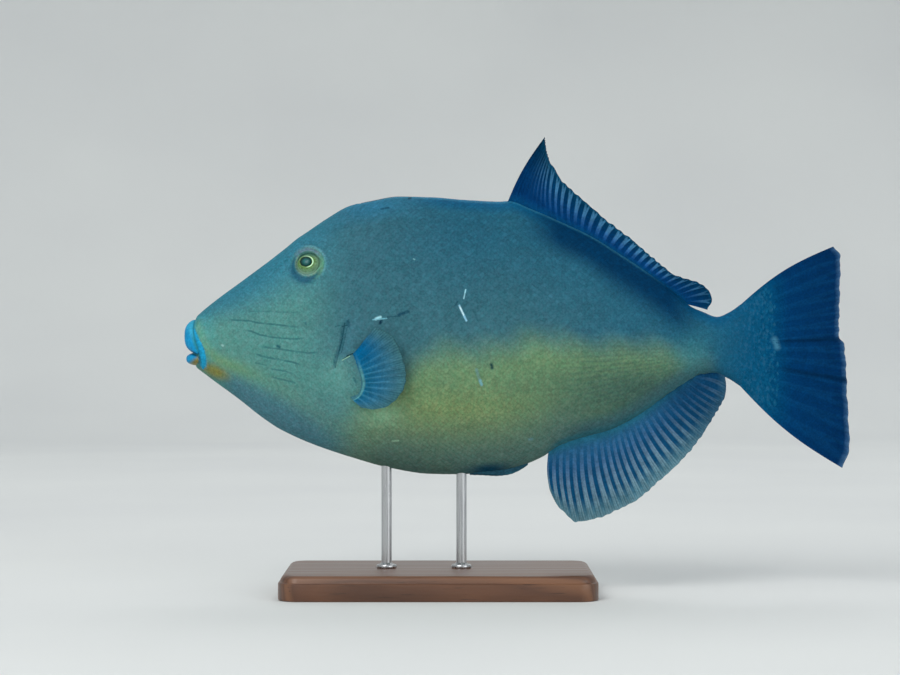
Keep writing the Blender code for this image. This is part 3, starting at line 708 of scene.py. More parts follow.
class Nodes(Tree):
    """A material on one shader."""

    def __init__(self, name, roughness, **uniform):
        self.material = bpy.data.materials.new(name)
        self.material.use_nodes = True
        super().__init__(self.material.node_tree)
        self.shader = self.tree.nodes["Principled BSDF"]
        self.shader.inputs["Roughness"].default_value = roughness
        for key, value in uniform.items():
            self.shader.inputs[key.replace("_", " ")].default_value = value

    def bump(self, height, strength, distance):
        made = self.node("ShaderNodeBump")
        made.inputs["Strength"].default_value = strength
        made.inputs["Distance"].default_value = distance
        self.feed(made.inputs["Height"], height)
        self.feed(self.shader.inputs["Normal"], made.outputs["Normal"])

    def finish(self, colour, roughness=None):
        self.feed(self.shader.inputs["Base Color"], colour)
        if roughness is not None:
            self.feed(self.shader.inputs["Roughness"], roughness)
        return self.material


MID_TONE = tone(60, 106, 117)
# Colours laid over the skin by its masks. Among them is painted light: a pale patch under the pectoral fin
# over the fin's shadow, a painted highlight along the top edge of the back, painted shade in the gill slit
# and the nostrils, painted light on the eyelid's inner wall, and painted shade round the eye.
LAYERS = (
    ("back", 34, 88, 110), ("brow", 52, 118, 138), ("cheek", 83, 137, 133), ("muzzle", 70, 156, 162),
    ("rear", 34, 92, 116), ("flank", 106, 139, 102), ("dusk", 56, 88, 84), ("streak", 56, 84, 84),
    ("amber", 132, 136, 72), ("fin_lee", 142, 190, 152), ("belly", 82, 112, 104), ("throat", 74, 120, 132),
    ("yellow", 110, 148, 104), ("ochre", 126, 128, 70), ("tail", 6, 78, 114), ("dusk_base", 60, 95, 99),
    ("crest", 12, 82, 118), ("navy", 0, 48, 82), ("sheath", 48, 100, 110), ("nape", 38, 112, 150),
    ("opercle", 112, 168, 156), ("peduncle", 66, 136, 142), ("gill_field", 63, 111, 124),
    ("gill", 42, 90, 102), ("patch", 10, 66, 92), ("ridge", 60, 136, 164), ("olive", 84, 136, 112),
    ("mauve", 98, 122, 142), ("arc", 106, 162, 166), ("rim", 128, 162, 144), ("shade", 20, 72, 102),
    ("lid_shade", 44, 94, 88), ("lip", 34, 150, 192),
)
# Marks of the left side, one of them a painted shadow beside the long white scar: start and end (s, h), half
# width, colour, strength
SCARS_AND_SCAR_SHADOW = (
    ((92.6, 12.6), (94.6, 13.4), 0.75, (160, 215, 226), 0.9),
    ((91.0, 12.2), (97.6, 12.8), 0.35, (120, 190, 208), 0.65),
    ((94.6, 10.6), (95.0, 11.4), 0.8, (10, 44, 66), 0.8),
    ((98.0, 13.4), (104.0, 14.0), 0.35, (30, 72, 88), 0.6),
    ((103.4, 14.6), (107.6, 16.0), 0.9, (24, 66, 86), 0.75),
    ((131.9, 18.8), (135.2, 11.8), 0.55, (140, 196, 222), 0.85),
    ((132.2, 18.2), (133.9, 14.4), 0.35, (206, 236, 240), 0.8),
    ((134.9, 26.4), (134.0, 22.2), 0.35, (150, 205, 220), 0.7),
    # painted shadow beside the long white scar
    ((138.2, 17.0), (140.6, 11.8), 0.5, (44, 88, 100), 0.5),
    ((185.5, 7.6), (196, 6.3), 1.1, (44, 86, 104), 0.3),
    ((131.0, 20.6), (130.0, 18.8), 0.5, (30, 70, 88), 0.6),
    ((140.0, -11.4), (141.8, -17.2), 0.8, (98, 138, 146), 0.45),
    ((141.8, -16.6), (142.4, -18.4), 0.75, (118, 176, 190), 0.7),
    ((147.0, -9.0), (147.4, -10.6), 0.9, (32, 66, 66), 0.8),
    ((45.6, -0.2), (46.6, -0.8), 0.8, (38, 92, 100), 0.75),
    ((18.8, 0.2), (19.3, -0.1), 0.6, (150, 195, 190), 0.7),
    ((94.6, 65.2), (98.0, 65.8), 0.6, (20, 62, 84), 0.6),
    ((107.8, 70.4), (108.6, 70.8), 0.7, (10, 46, 66), 0.7),
    ((76.6, 9.0), (79.0, 9.6), 0.35, (30, 72, 84), 0.7),
    ((78.8, -5.0), (81.8, -3.7), 0.35, (20, 54, 62), 0.85),
    ((76.6, -6.9), (80.2, -5.0), 0.25, (150, 195, 165), 0.7),
    ((76.9, -6.4), (79.8, -4.7), 0.2, (26, 62, 66), 0.6),
    ((73.4, 9.1), (76.4, 9.6), 0.3, (40, 88, 98), 0.6),
    ((79.2, 11.6), (79.8, 9.2), 1.0, (30, 78, 94), 0.6),
    ((35.2, -8.3), (40.2, -9.4), 0.3, (50, 108, 106), 0.5),
    ((77.7, 10.4), (76.6, 3.2), 0.28, (26, 70, 82), 0.75),
    ((76.6, 3.2), (74.9, -3.6), 0.28, (22, 66, 78), 0.85),
    ((74.9, -3.6), (73.2, -10.4), 0.25, (36, 84, 92), 0.7),
    ((78.9, 8.5), (77.5, 1.6), 0.3, (34, 80, 92), 0.55),
    ((77.5, 1.6), (76.2, -3.4), 0.3, (34, 80, 90), 0.55),
    ((59.0, 10.9), (59.3, 10.0), 0.5, (44, 100, 108), 0.6),
    ((82.2, -15.4), (83.2, -17.4), 0.6, (38, 92, 100), 0.6),
    ((164.3, 63.0), (168.5, 58.4), 0.3, (14, 84, 114), 0.4),
    ((166.6, 62.2), (171.0, 56.8), 0.3, (14, 82, 112), 0.4),
    ((168.9, 61.0), (173.4, 55.2), 0.3, (12, 78, 108), 0.4),
    ((171.2, 59.6), (175.4, 54.0), 0.3, (12, 74, 106), 0.4),
    ((110.2, 41.0), (110.8, 40.7), 0.35, (130, 190, 195), 0.5),
    ((100.2, -45.4), (103.0, -45.2), 0.5, (150, 190, 160), 0.6),
    ((165.3, -44.8), (166.6, -44.6), 0.7, (104, 146, 160), 0.4),
)
TAIL_MARKS = (((283.6, 2.8), (284.9, -0.8), 1.7, (58, 116, 144), 0.75),)


def scar_group():
    """A node group that gives 1 on a line between two places of the side and 0 off it."""
    group = bpy.data.node_groups.new("line_mark", "ShaderNodeTree")
    for name, kind in (("Place", "Vector"), ("Start", "Vector"), ("Ahead", "Vector"), ("Width", "Float")):
        group.interface.new_socket(name, in_out="INPUT", socket_type=f"NodeSocket{kind}")
    group.interface.new_socket("Mark", in_out="OUTPUT", socket_type="NodeSocketFloat")
    made = Tree(group)
    given = made.node("NodeGroupInput").outputs
    from_start, ahead = made.vector("SUBTRACT", given["Place"], given["Start"]), given["Ahead"]
    along = made.vector("DOT_PRODUCT", from_start, ahead)
    share = made.math("DIVIDE", along, made.vector("DOT_PRODUCT", ahead, ahead), clamp=True)
    away = made.vector("LENGTH", made.vector("SUBTRACT", from_start, made.scaled(ahead, share)))
    made.feed(made.node("NodeGroupOutput").inputs["Mark"], made.span(away, given["Width"], 0.0))
    return group


def add_marks(made, colour, marks, group):
    """The lines and spots of wear on one side, with one painted shadow beside a scar, by their places on the
    map of (s, h).
    """
    place = made.scaled(made.vector("SUBTRACT", made.uv("place"), (0, 0.5, 0)), TOTAL_LENGTH)
    frayed = made.noise(0.0012, 2.0)
    for start, end, half, shown, strength in marks:
        mark = made.node("ShaderNodeGroup", node_tree=group)
        made.feed(mark.inputs["Place"], place)
        mark.inputs["Start"].default_value = (*start, 0)
        mark.inputs["Ahead"].default_value = (end[0] - start[0], end[1] - start[1], 0)
        mark.inputs["Width"].default_value = 1.5 * half
        share = made.product(mark.outputs[0], made.span(frayed, 0.25, 0.5, 0.5, 1.3))
        share = made.product(share, strength, clamp=True)
        colour = made.mix(share, colour, tone(*shown))
    return colour


def skin_material(name, group, fine=1.0, shaded=False):
    """Skin with its markings and marks, some of them painted light and shade; shaded adds a little difference
    from scale to scale and painted shade at the edges of each scale.
    """
    made = Nodes(name, 0.52, Specular_IOR_Level=0.03)
    grain = made.noise(0.0010)
    speck = made.noise(SPECK_SIZE, stretch=SPECK_STRETCH)
    cloud = made.noise(0.012, 3.0)
    uneven = made.span(cloud, 0.2, 0.5, 0.88, 1.0)
    colour = MID_TONE
    for mask, *shown in LAYERS:
        colour = made.mix(made.product(made.attribute(mask), uneven, clamp=True), colour, tone(*shown))
    colour = made.varied(colour, speck, (0.76, 1.02, 1.0), (1.25, 0.99, 1.02), 0.6 * fine)
    colour = made.varied(colour, grain, 1 - 0.17 * fine, 1 + 0.17 * fine)
    colour = made.varied(colour, cloud, 0.96, 1.04)
    colour = made.flecked(colour, made.attribute("tail"))
    # the colour darkens unevenly along each cheek groove: painted shade in the grooves
    groove = made.span(made.math("ABSOLUTE", made.attribute("groove")), 0.75, 0.0)
    patchy = made.span(made.noise(0.003), 0.3, 0.55, 0.5, 1.0)
    line = made.product(groove, made.attribute("groove_strength"), patchy)
    colour = add_marks(made, made.mix(line, colour, tone(44, 98, 102)), SCARS_AND_SCAR_SHADOW, group)
    if shaded:
        shade = made.span(made.attribute("scale_shade"), -2.5, 2.5, 0.86, 1.14, way="LINEAR")
        colour = made.scaled(colour, shade)
    made.bump(made.noise(0.0007), 0.2, 0.0002)
    return made.finish(colour, made.span(grain, 0.3, 0.7, 0.46, 0.6))


def fin_material(
    name, webs, rays, stripe=(0.15, 0.27), front=(0.0, 0.01), rear=(98.0, 99.0, 1.0, 1.0), split=0.2,
    creases=(), glow=None, last=None, scaly=0.0, marks=(), group=None,
):
    """A fin: webs and rays are colour bands from the root to the margin, rays lie at whole numbers of u.

    front: from which ray to which they come to show. rear: from which to which they fade, and the share of
    their contrast and width that is left. glow: a tone of the first rays. last: from which ray to which a
    tone of the last ones comes in, its share and the tone; on the anal fin that tone is painted shadow
    under the peduncle.
    """
    made = Nodes(name, 0.5, Specular_IOR_Level=0.02)
    across, along, _ = made.node("ShaderNodeSeparateXYZ").outputs
    made.feed(across.node.inputs[0], made.uv("rays"))
    fade_start, fade_end, contrast, width = rear
    wobble = made.noise(0.004)
    phase = made.math("ABSOLUTE", made.math("SUBTRACT", across, made.math("ROUND", across)))
    away = made.math("ABSOLUTE", made.math("SUBTRACT", phase, made.span(along, 0.6, 1.0, 0.0, split)))
    thin = made.span(along, 0.6, 1.0, 1.0, 0.4)
    thin = made.product(thin, made.span(across, fade_start, fade_end, 1.0, width))
    line = made.span(made.math("DIVIDE", away, thin), stripe[1], stripe[0])
    shown = made.product(
        line, made.span(across, *front), made.span(across, fade_start, fade_end, 1.0, contrast),
        made.span(wobble, 0.2, 0.6, 0.75, 1.0),
    )
    colour = made.mix(shown, made.ramp(along, *webs), made.ramp(along, *rays))
    if glow:
        near = made.product(made.span(across, 5.0, 0.5, 0.0, 0.9), made.span(along, 0.85, 0.2))
        colour = made.mix(near, colour, glow)
    if last:
        start, end, share, late_tone_and_shadow = last
        colour = made.mix(made.span(across, start, end, 0.0, share), colour, late_tone_and_shadow)
    branches = made.math("SINE", made.product(across, 8 * math.pi))
    fine = made.product(made.span(branches, -0.2, 0.9), made.span(along, 0.4, 0.9, 0.0, 0.3))
    colour = made.mix(fine, colour, tone(4, 50, 84))
    # a darker line along each crease of the tail: painted shade in its fold
    for place in creases:
        near = made.span(made.math("ABSOLUTE", made.math("SUBTRACT", across, place)), 0.3, 0.0)
        near = made.product(near, made.span(along, 0.25, 0.6, 0.0, 0.8))
        colour = made.mix(near, colour, tone(0, 34, 66))
    joints = made.noise(0.0009, 1.0)
    colour = made.varied(colour, joints, 0.88, 1.12)
    colour = made.varied(colour, wobble, 0.92, 1.08)
    if scaly:
        colour = made.flecked(colour, made.span(along, scaly, 0.4 * scaly))
    if marks:
        colour = add_marks(made, colour, marks, group)
    made.bump(made.math("ADD", made.product(line, 0.6), made.product(joints, 0.4)), 0.25, 0.0002)
    return made.finish(colour)


def eye_material():
    """Rings round the pupil with a painted highlight on its pale ring, the pale rim of the eyeball as a
    painted highlight and painted shadow of the lid over its top, on a map with the pupil in its middle.
    """
    made = Nodes("eye", 0.25, Coat_Weight=0.05, Coat_Roughness=0.12, Specular_IOR_Level=0.2)
    place = made.scaled(made.vector("SUBTRACT", made.uv("gaze"), (0.5, 0.5, 0)), GAZE_SIZE)
    radius = made.vector("LENGTH", made.vector("MULTIPLY", place, (1 / PUPIL_HALF[0], 1 / PUPIL_HALF[1], 0)))
    streaks = made.noise(0.0008, 3.0)
    drift = made.math("ADD", radius, made.span(streaks, 0.2, 0.8, -0.05, 0.05))
    rings = made.ramp(
        made.product(drift, 0.25),
        (0.0, 42, 106, 108), (0.1, 30, 92, 92), (0.18, 8, 56, 52), (0.23, 2, 36, 32),
        (0.26, 80, 118, 56), (0.32, 88, 126, 66), (0.41, 98, 136, 98), (0.55, 92, 132, 106),
    )
    facing_up_back = made.vector("DOT_PRODUCT", made.vector("NORMALIZE", place), (0.95, 0.31, 0))
    # a pale ring round the pupil, painted brighter up and back as a highlight
    ring_and_glint = made.product(made.span(radius, 0.98, 1.06), made.span(radius, 1.24, 1.15))
    ring_and_glint = made.product(ring_and_glint, made.span(facing_up_back, -0.5, 0.4, 0.1, 1.0))
    colour = made.mix(ring_and_glint, made.varied(rings, streaks, 0.78, 1.2), tone(196, 238, 196))
    # the pale rim of the eyeball, brighter low and in front: a painted highlight
    from_middle = made.vector("ADD", place, (*PUPIL_SHIFT, 0))
    share = made.vector("MULTIPLY", from_middle, (1 / EYE_HALF[0], 1 / EYE_HALF[1], 0))
    low_front = made.vector("DOT_PRODUCT", made.vector("NORMALIZE", share), (-0.55, -0.83, 0))
    rim = made.span(made.vector("LENGTH", share), 0.8, 0.95)
    rim = made.product(rim, made.span(low_front, -0.5, 0.5, 0.35, 0.9))
    colour = made.mix(rim, colour, tone(124, 160, 140))
    # painted shadow of the upper lid over the top of the eyeball
    brow = made.span(made.vector("DOT_PRODUCT", share, (0, 1.0, 0)), 0.55, 0.9, 0.0, 0.8)
    return made.finish(made.mix(brow, colour, tone(40, 92, 76)))


def lip_material():
    made = Nodes("lip_blue", 0.45, Specular_IOR_Level=0.12)
    grain = made.noise(0.0012, 3.0)
    cloud = made.noise(0.005, 2.0)
    colour = made.mix(made.attribute("rim"), tone(16, 140, 192), tone(52, 158, 192))
    colour = made.mix(made.attribute("inner"), colour, tone(8, 70, 104))
    colour = made.mix(made.attribute("back"), colour, tone(40, 128, 142))
    colour = made.mix(made.attribute("ochre"), colour, tone(128, 122, 70))
    colour = made.varied(made.varied(colour, grain, 0.86, 1.12), cloud, 0.9, 1.1)
    made.bump(grain, 0.25, 0.0003)
    return made.finish(colour)


def spine_material():
    made = Nodes("spine_skin", 0.5, Specular_IOR_Level=0.4)
    grain = made.noise(0.001, 3.0)
    colour = made.ramp(grain, (0.3, 18, 62, 84), (0.6, 44, 96, 112), (0.8, 90, 132, 140))
    made.bump(grain, 0.5, 0.0004)
    return made.finish(colour)


def wood_material():
    made = Nodes("stand_wood", 0.42, Coat_Weight=0.3, Coat_Roughness=0.25)
    bent = made.noise(0.05, 2.0, stretch=(0.25, 1.0, 1.0))
    rings = made.node("ShaderNodeTexWave", wave_type="BANDS", bands_direction="Y")
    for key, value in (("Scale", 42.0), ("Distortion", 5.0), ("Detail", 3.0), ("Detail Scale", 0.8)):
        rings.inputs[key].default_value = value
    made.feed(rings.inputs["Vector"], made.vector("MULTIPLY", made.places(), (0.16, 1.0, 0.6)))
    pores = made.noise(0.0009, 3.0, stretch=(0.06, 1.0, 1.0))
    grain = made.math("ADD", made.product(rings.outputs["Fac"], 0.55), made.product(bent, 0.45))
    colour = made.ramp(grain, (0.2, 70, 42, 27), (0.45, 98, 62, 40), (0.62, 84, 51, 32), (0.8, 116, 76, 49))
    colour = made.mix(made.span(pores, 0.62, 0.72, 0.0, 0.6), colour, tone(42, 24, 16))
    made.bump(pores, 0.15, 0.0002)
    return made.finish(colour, made.span(grain, 0.2, 0.8, 0.36, 0.5))


def steel_material():
    made = Nodes("stand_steel", 0.28, Metallic=1.0)
    brushed = made.noise(0.0006, 2.0, stretch=(1.0, 1.0, 0.02))
    colour = made.ramp(brushed, (0.3, 168, 169, 172), (0.7, 198, 199, 201))
    made.bump(brushed, 0.12, 0.0001)
    return made.finish(colour, made.span(brushed, 0.3, 0.7, 0.22, 0.36))


# The skin


SKIN_COLUMNS = 280


def skin_turns():
    """Turns round a section, even along its skin and closer at the trough on the back."""
    fine = np.linspace(-1.5 * math.pi, 0.5 * math.pi, 6001)
    steps = np.linalg.norm(np.diff(section(105.0, fine), axis=0), axis=1)
    middles = (fine[1:] + fine[:-1]) / 2
    steps *= 1 + 2.2 * hump(np.abs(np.angle(np.exp(1j * (middles - math.pi / 2)))), 0.16)
    run = np.concatenate([[0], np.cumsum(steps)])
    return np.interp(np.linspace(0, run[-1], SKIN_COLUMNS, endpoint=False), run, fine)


def skin_rows():
    rounding = SNOUT_ROUND - (SNOUT_ROUND - SNOUT_TIP) * np.cos(np.radians(np.linspace(5, 90, 12)))
    return np.concatenate([
        rounding,
        np.arange(SNOUT_ROUND + 0.5, 82, 0.57),
        np.arange(82, 142, 1.0),
        np.arange(142, SKIN_END, 1.16),
        [SKIN_END],
    ])


def body_grid(s, turns):
    """The body's surface with its relief, on a grid of rows s and turns, with the snout rounded off."""
    points = section(s[:, None], turns[None, :])
    share = np.clip((SNOUT_ROUND - s) / (SNOUT_ROUND - SNOUT_TIP), 0, 0.999)
    size = ((1 - share**2) ** 0.42)[:, None]
    points[..., 1] *= size * rear_share(s)[:, None]
    points[..., 2] = SNOUT_LEVEL + (points[..., 2] - SNOUT_LEVEL) * size
    ahead = np.gradient(points, axis=0)
    around = np.roll(points, -1, axis=1) - np.roll(points, 1, axis=1)
    normals = unit(np.cross(around, ahead))
    if normals[len(s) // 2, np.argmin(np.abs(np.sin(turns) - 1)), 2] < 0:
        normals = -normals
    lift = relief(points[..., 0], points[..., 1], points[..., 2])
    return points + lift[..., None] * normals


def add_skin(shape, points, *faces, closed=False, **more):
    """Adds places of skin with their markings and their map."""
    flat = np.asarray(points, float).reshape(-1, 3)
    marked = masks(flat)
    marked["uv_place"] = place_map(flat, flat[:, 1])
    shape.add(flat, *faces, closed=closed, **{**marked, **more})


def add_body(shape):
    add_skin(shape, *capped(body_grid(skin_rows(), skin_turns())), closed=True)


def eye_axes(side):
    """Where the eye's opening is, the way it looks, and the directions back and up across it."""
    point, normal = on_skin(*EYE_PLACE, side)
    ahead = unit(np.cross((0, 0, 1.0), normal)) * -side
    return point, normal, ahead, np.cross(normal, ahead) * -side


LID_PROFILE = smooth_through((
    (5.2, -1.3), (5.5, -0.5), (5.8, 0.12), (6.3, 0.34), (6.9, 0.22), (7.5, 0.14), (8.2, 0.34), (8.8, 0.26),
    (9.7, 0.1), (10.6, -0.14),
))


def facing(points, faces, outward):
    """The faces, turned over if most of them look away from outward."""
    a, b, c = (points[faces[:, i]] for i in range(3))
    return faces if (np.cross(b - a, c - a) @ np.asarray(outward, float)).sum() > 0 else faces[:, ::-1]


def add_eyelids(shape, side):
    """The folds of skin round an eye, as rings that rise and fall outwards from it."""
    point, normal, ahead, upward = eye_axes(side)
    rings = np.concatenate([np.linspace(5.2, 7.2, 15), np.linspace(7.4, 10.6, 15)])[:, None]
    turns = full_turn(96)[None, :]
    oval = (EYE_HALF[0] - EYE_HALF[1]) / (EYE_HALF[0] + EYE_HALF[1])
    uneven = 1 + 0.012 * np.sin(3 * turns + 0.6) + 0.008 * np.sin(7 * turns) + oval * np.cos(2 * turns)
    reach = rings * uneven
    flat = point + reach[..., None] * (np.cos(turns)[..., None] * ahead + np.sin(turns)[..., None] * upward)
    lift = LID_PROFILE(rings) * (1 + 0.35 * np.sin(turns + 0.3)) + 0 * turns
    lift += 0.04 * np.sin(turns * 26 + 3 * np.sin(turns)) * hump(rings - 6.2, 0.8)
    points, _ = on_skin(flat[..., 0], flat[..., 2], side, lift)
    points = points.reshape(-1, 3)
    add_skin(shape, points, facing(points, grid_faces(len(rings), 96, wrap=True), normal))


def add_nostril(shape, place, side):
    point, normal = on_skin(*place, side)
    ahead = unit(np.cross(normal, (0, 0, 1.0)))
    upward = np.cross(ahead, normal)
    turns = full_turn(20)[:, None]
    around = np.cos(turns) * ahead + np.sin(turns) * upward
    reach = 1.5 * NOSTRIL_RADIUS * around
    rings = [point + lift * normal + share * reach for share, lift, _ in NOSTRIL_PROFILE]
    points = np.concatenate(rings)
    # the hole is darkened with painted shade
    hole = np.repeat([dark for _, _, dark in NOSTRIL_PROFILE], len(turns))
    faces = grid_faces(len(rings), len(turns), wrap=True)
    add_skin(shape, points, facing(points, faces, normal), gill=hole)


def add_lip_fold(shape, side):
    """The band of blue skin behind the corner of the mouth."""
    path = np.array(LIP_FOLD, float)
    share = np.linspace(0, 1, 36)
    run = np.linspace(0, 1, len(path))
    s, h = (smooth_through(list(zip(run, path[:, i])))(share) for i in (0, 1))
    middle, normal = on_skin(s, h, side, -0.1)
    across = np.cross(unit(np.gradient(middle, axis=0)), normal)
    taper = np.sin(math.pi * np.clip(share * 0.9 + 0.06, 0, 1)) ** 0.55 * (0.3 + 0.7 * ease(share, 0, 0.5))
    wide = LIP_FOLD_HALF[0] * taper * (1 + 0.06 * np.sin(share * 40))
    tall = LIP_FOLD_HALF[1] * taper
    crest = np.tile(ease(np.sin(full_turn(TUBE_SIDES)), -0.2, 0.7), len(share))
    blue = 0.35 + 0.65 * np.concatenate([crest, [1, 1]])
    fold = tube(middle, across * wide[:, None], normal * tall[:, None])
    add_skin(shape, *fold, closed=True, lip=blue, ochre=0.0, yellow=0.0)


def add_pelvic_flap(shape):
    """The low keel of skin under the belly."""
    s = np.linspace(PELVIC_FLAP[0][0], PELVIC_FLAP[-1][0], 90)[:, None]
    depth = smooth_through(PELVIC_FLAP)(s) + 0.05 * np.sin(s * 2.4)
    turn = np.linspace(0, math.pi, 13)
    y = 1.7 * np.minimum(1.0, 0.35 + depth / 2) * np.cos(turn)
    h = belly(s) + 0.9 - (depth + 0.9 + GAP) * np.sin(turn) ** 0.8
    flat, *faces = capped(np.stack(np.broadcast_arrays(s, y, h), -1))
    # the pale lower edge of the flap, put on the layer of the painted highlight along the back
    pale = ease(flat[:, 2] - belly(flat[:, 0]), -1.0, -2.0) * hump(flat[:, 0] - 158, 5)
    add_skin(shape, flat, *faces, closed=True, ridge=0.3 * pale, patch=0.8, crest=0.0)


def make_skin(group):
    shape = Shape()
    add_body(shape)
    for side in (-1, 1):
        add_eyelids(shape, side)
        for place in NOSTRILS:
            add_nostril(shape, place, side)
        add_lip_fold(shape, side)
    add_pelvic_flap(shape)
    skin = shape.build("skin", skin_material("skin", group))
    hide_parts("head", "trunk", "tail_peduncle", "pelvic_flap")
    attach(skin, "root")


# The scales


class Flank:
    """The left side's surface, read at any (s, v)."""

    def __init__(self):
        self.s = np.arange(6.0, SKIN_END + 0.2, FLANK_STEP)
        self.v = np.arange(-84.0, 90.2, FLANK_STEP)
        turns = np.linspace(-0.5 * math.pi, 0.5 * math.pi, 901)
        self.points = np.empty((len(self.s), len(self.v), 3))
        self.up = np.empty(len(self.s))
        self.down = np.empty(len(self.s))
        for i, s in enumerate(self.s):
            ring = section(s, turns)
            run = np.concatenate([[0], np.cumsum(np.linalg.norm(np.diff(ring, axis=0), axis=1))])
            run -= np.interp(0.0, turns, run)
            self.up[i], self.down[i] = run[-1], run[0]
            self.points[i] = section(s, np.interp(self.v, run, turns))
        self.points[..., 1] *= -rear_share(self.s)[:, None]
        along, upward = np.gradient(self.points, axis=(0, 1))
        normals = np.cross(upward, along)
        size = np.linalg.norm(normals, axis=-1, keepdims=True)
        self.normals = np.where(size > 1e-9, normals / np.maximum(size, 1e-9), (0, -1.0, 0))
        if self.normals[len(self.s) // 2, len(self.v) // 2, 1] > 0:
            self.normals *= -1
        lift = relief(self.points[..., 0], self.points[..., 1], self.points[..., 2])
        self.points += lift[..., None] * self.normals

    def at(self, s, v):
        i = np.clip((s - self.s[0]) / FLANK_STEP, 0, len(self.s) - 1.001)
        j = np.clip((v - self.v[0]) / FLANK_STEP, 0, len(self.v) - 1.001)
        a, b = i.astype(int), j.astype(int)
        p, q = (i - a)[..., None], (j - b)[..., None]
        found = []
        for table in (self.points, self.normals):
            low = table[a, b] * (1 - p) + table[a + 1, b] * p
            high = table[a, b + 1] * (1 - p) + table[a + 1, b + 1] * p
            found.append(low * (1 - q) + high * q)
        return found[0], unit(found[1])


PLATE_LENGTH = ((0, 1.6), (30, 2.0), (70, 2.3), (95, 3.1), (205, 3.1), (240, 2.5), (268, 1.9))
PLATE_CORNERS = np.array((
    (0.475, 0.0), (0.255, 0.255), (0.0, 0.475), (-0.255, 0.255),
    (-0.475, 0.0), (-0.255, -0.255), (0.0, -0.475), (0.255, -0.255),
))
PLATE_SIDES = len(PLATE_CORNERS)
PLATE_PLACES = np.concatenate([[(0.0, 0.0)], PLATE_CORNERS])
# The map of the plates covers so many millimetres, and each plate has a patch on it
MAP_SIZE = 300
PATCH_HALF = 0.0015
FLANK_STEP = 0.4


def plate_lattice(flank):
    """The middles of the scales in rows of the lattice, as (u, w), and the functions that place them."""
    length = smooth_through(PLATE_LENGTH)
    s = np.linspace(0, 285, 2000)
    u = np.concatenate([[0], np.cumsum(np.diff(s) / length((s[1:] + s[:-1]) / 2))])
    height_at = smooth_through([(place, 0.9 * size) for place, size in PLATE_LENGTH])

    def place_of(u_value, w_value):
        s_value = np.interp(u_value, u, s)
        return s_value, w_value * height_at(s_value)

    first, last = np.interp([11.0, 273.0], s, u)
    i = np.arange(math.ceil(2 * first), math.floor(2 * last))
    j = np.arange(-110, 111)
    i, j = np.meshgrid(i, j, indexing="ij")
    even = (i + j) % 2 == 0
    u_mid, w_mid = i[even] / 2, j[even] / 2
    s_mid, v_mid = place_of(u_mid, w_mid)
    up, down = np.interp(s_mid, flank.s, flank.up), np.interp(s_mid, flank.s, flank.down)
    inside = (v_mid < up - 1.4) & (v_mid > down + 1.0)
    return u_mid[inside], w_mid[inside], place_of


def free_of_scales(points):
    """Whether a scale at each place would lie on a lip, an eye, a groove or another opening."""
    s, y, h = np.moveaxis(points, -1, 0)
    field, strength = groove_field(s, h)
    behind = s - gill_place(h)
    taken = eye_distance(s, h) < 9.9
    taken |= (np.abs(field) < 0.8) & (strength > 0.25)
    taken |= (np.abs(behind) < 1.4) & (h > -13) & (h < 12)
    for place in NOSTRILS:
        taken |= np.hypot(s - place[0], h - place[1]) < 2.0
    for place_s, place_h, long, high in SCUTES:
        taken |= np.abs(s - place_s) / (0.62 * long) + np.abs(h - place_h) / (0.62 * high) < 1
    taken |= (np.abs(y) < 2.9) & (s > 82) & (s < 139) & (h > 40)
    away, _ = path_distance(s, h, LIP_FOLD)
    taken |= np.abs(away) < 2.2
    away, _ = path_distance(s, h, EYE_GROOVE)
    taken |= np.abs(away) < 1.0
    return ~taken


def make_scales(flank, side, made_of):
    """The scales of one side: low four-cornered plates that follow the skin, in slanting rows."""
    u, w, place_of = plate_lattice(flank)
    middle, _ = flank.at(*place_of(u, w))
    keep = free_of_scales(middle)
    u, w = u[keep], w[keep]
    s, v = place_of(u, w)
    count = len(u)
    rng = np.random.default_rng(7)
    shade = rng.normal(0, 1, count)
    size = 1 + 0.03 * rng.normal(0, 1, count)
    height = 0.012 + 0.026 * ease(s, 60, 110) - 0.006 * ease(s, 225, 262)
    height *= 1 + 0.15 * rng.normal(0, 1, count)
    corners = np.concatenate([PLATE_PLACES, PLATE_CORNERS])
    spread = np.repeat([1.0, 1.03], (1 + PLATE_SIDES, PLATE_SIDES)) * size[:, None]
    s_all, v_all = place_of(u[:, None] + corners[:, 0] * spread, w[:, None] + corners[:, 1] * spread)
    points, normals = flank.at(s_all, v_all)
    rise = np.concatenate([[1.2], 0.75 + 0.9 * PLATE_CORNERS[:, 0], np.zeros(PLATE_SIDES)])
    sink = np.repeat([0.025, -0.1], (1 + PLATE_SIDES, PLATE_SIDES))
    points = points + (height[:, None] * rise + sink)[..., None] * normals
    points[..., 1] *= -side
    ring = np.arange(1, 1 + PLATE_SIDES)
    after = np.roll(ring, -1)
    skirt = np.stack([ring, ring + PLATE_SIDES, after + PLATE_SIDES, after], -1)
    starts = (np.arange(count) * len(corners))[:, None, None]
    tops, skirts = plate_tops(count, len(corners)), (skirt + starts).reshape(-1, 4)
    flat = points.reshape(-1, 3)
    if facing(flat, tops, (0, side, 0)) is not tops:
        tops, skirts = tops[:, ::-1], skirts[:, ::-1]
    root = np.stack([s, v], -1)[:, None] / MAP_SIZE + (0, 0.5)
    patch = (root + PATCH_HALF * 2 * corners).reshape(-1, 2)
    # each plate's own random tone, and its edges darker than its middle as painted shade between the scales
    tone_and_gap_shade = np.repeat(shade, len(corners)) + np.tile([0.9] + [-1.0] * (2 * PLATE_SIDES), count)
    shape = Shape()
    add_skin(shape, flat, tops, skirts, uv_OFBake=patch, scale_shade=tone_and_gap_shade)
    add_tail_plates(shape, side, rng)
    scales = shape.build(sided("scales", side), made_of, sharp=30)
    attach(scales, "root")


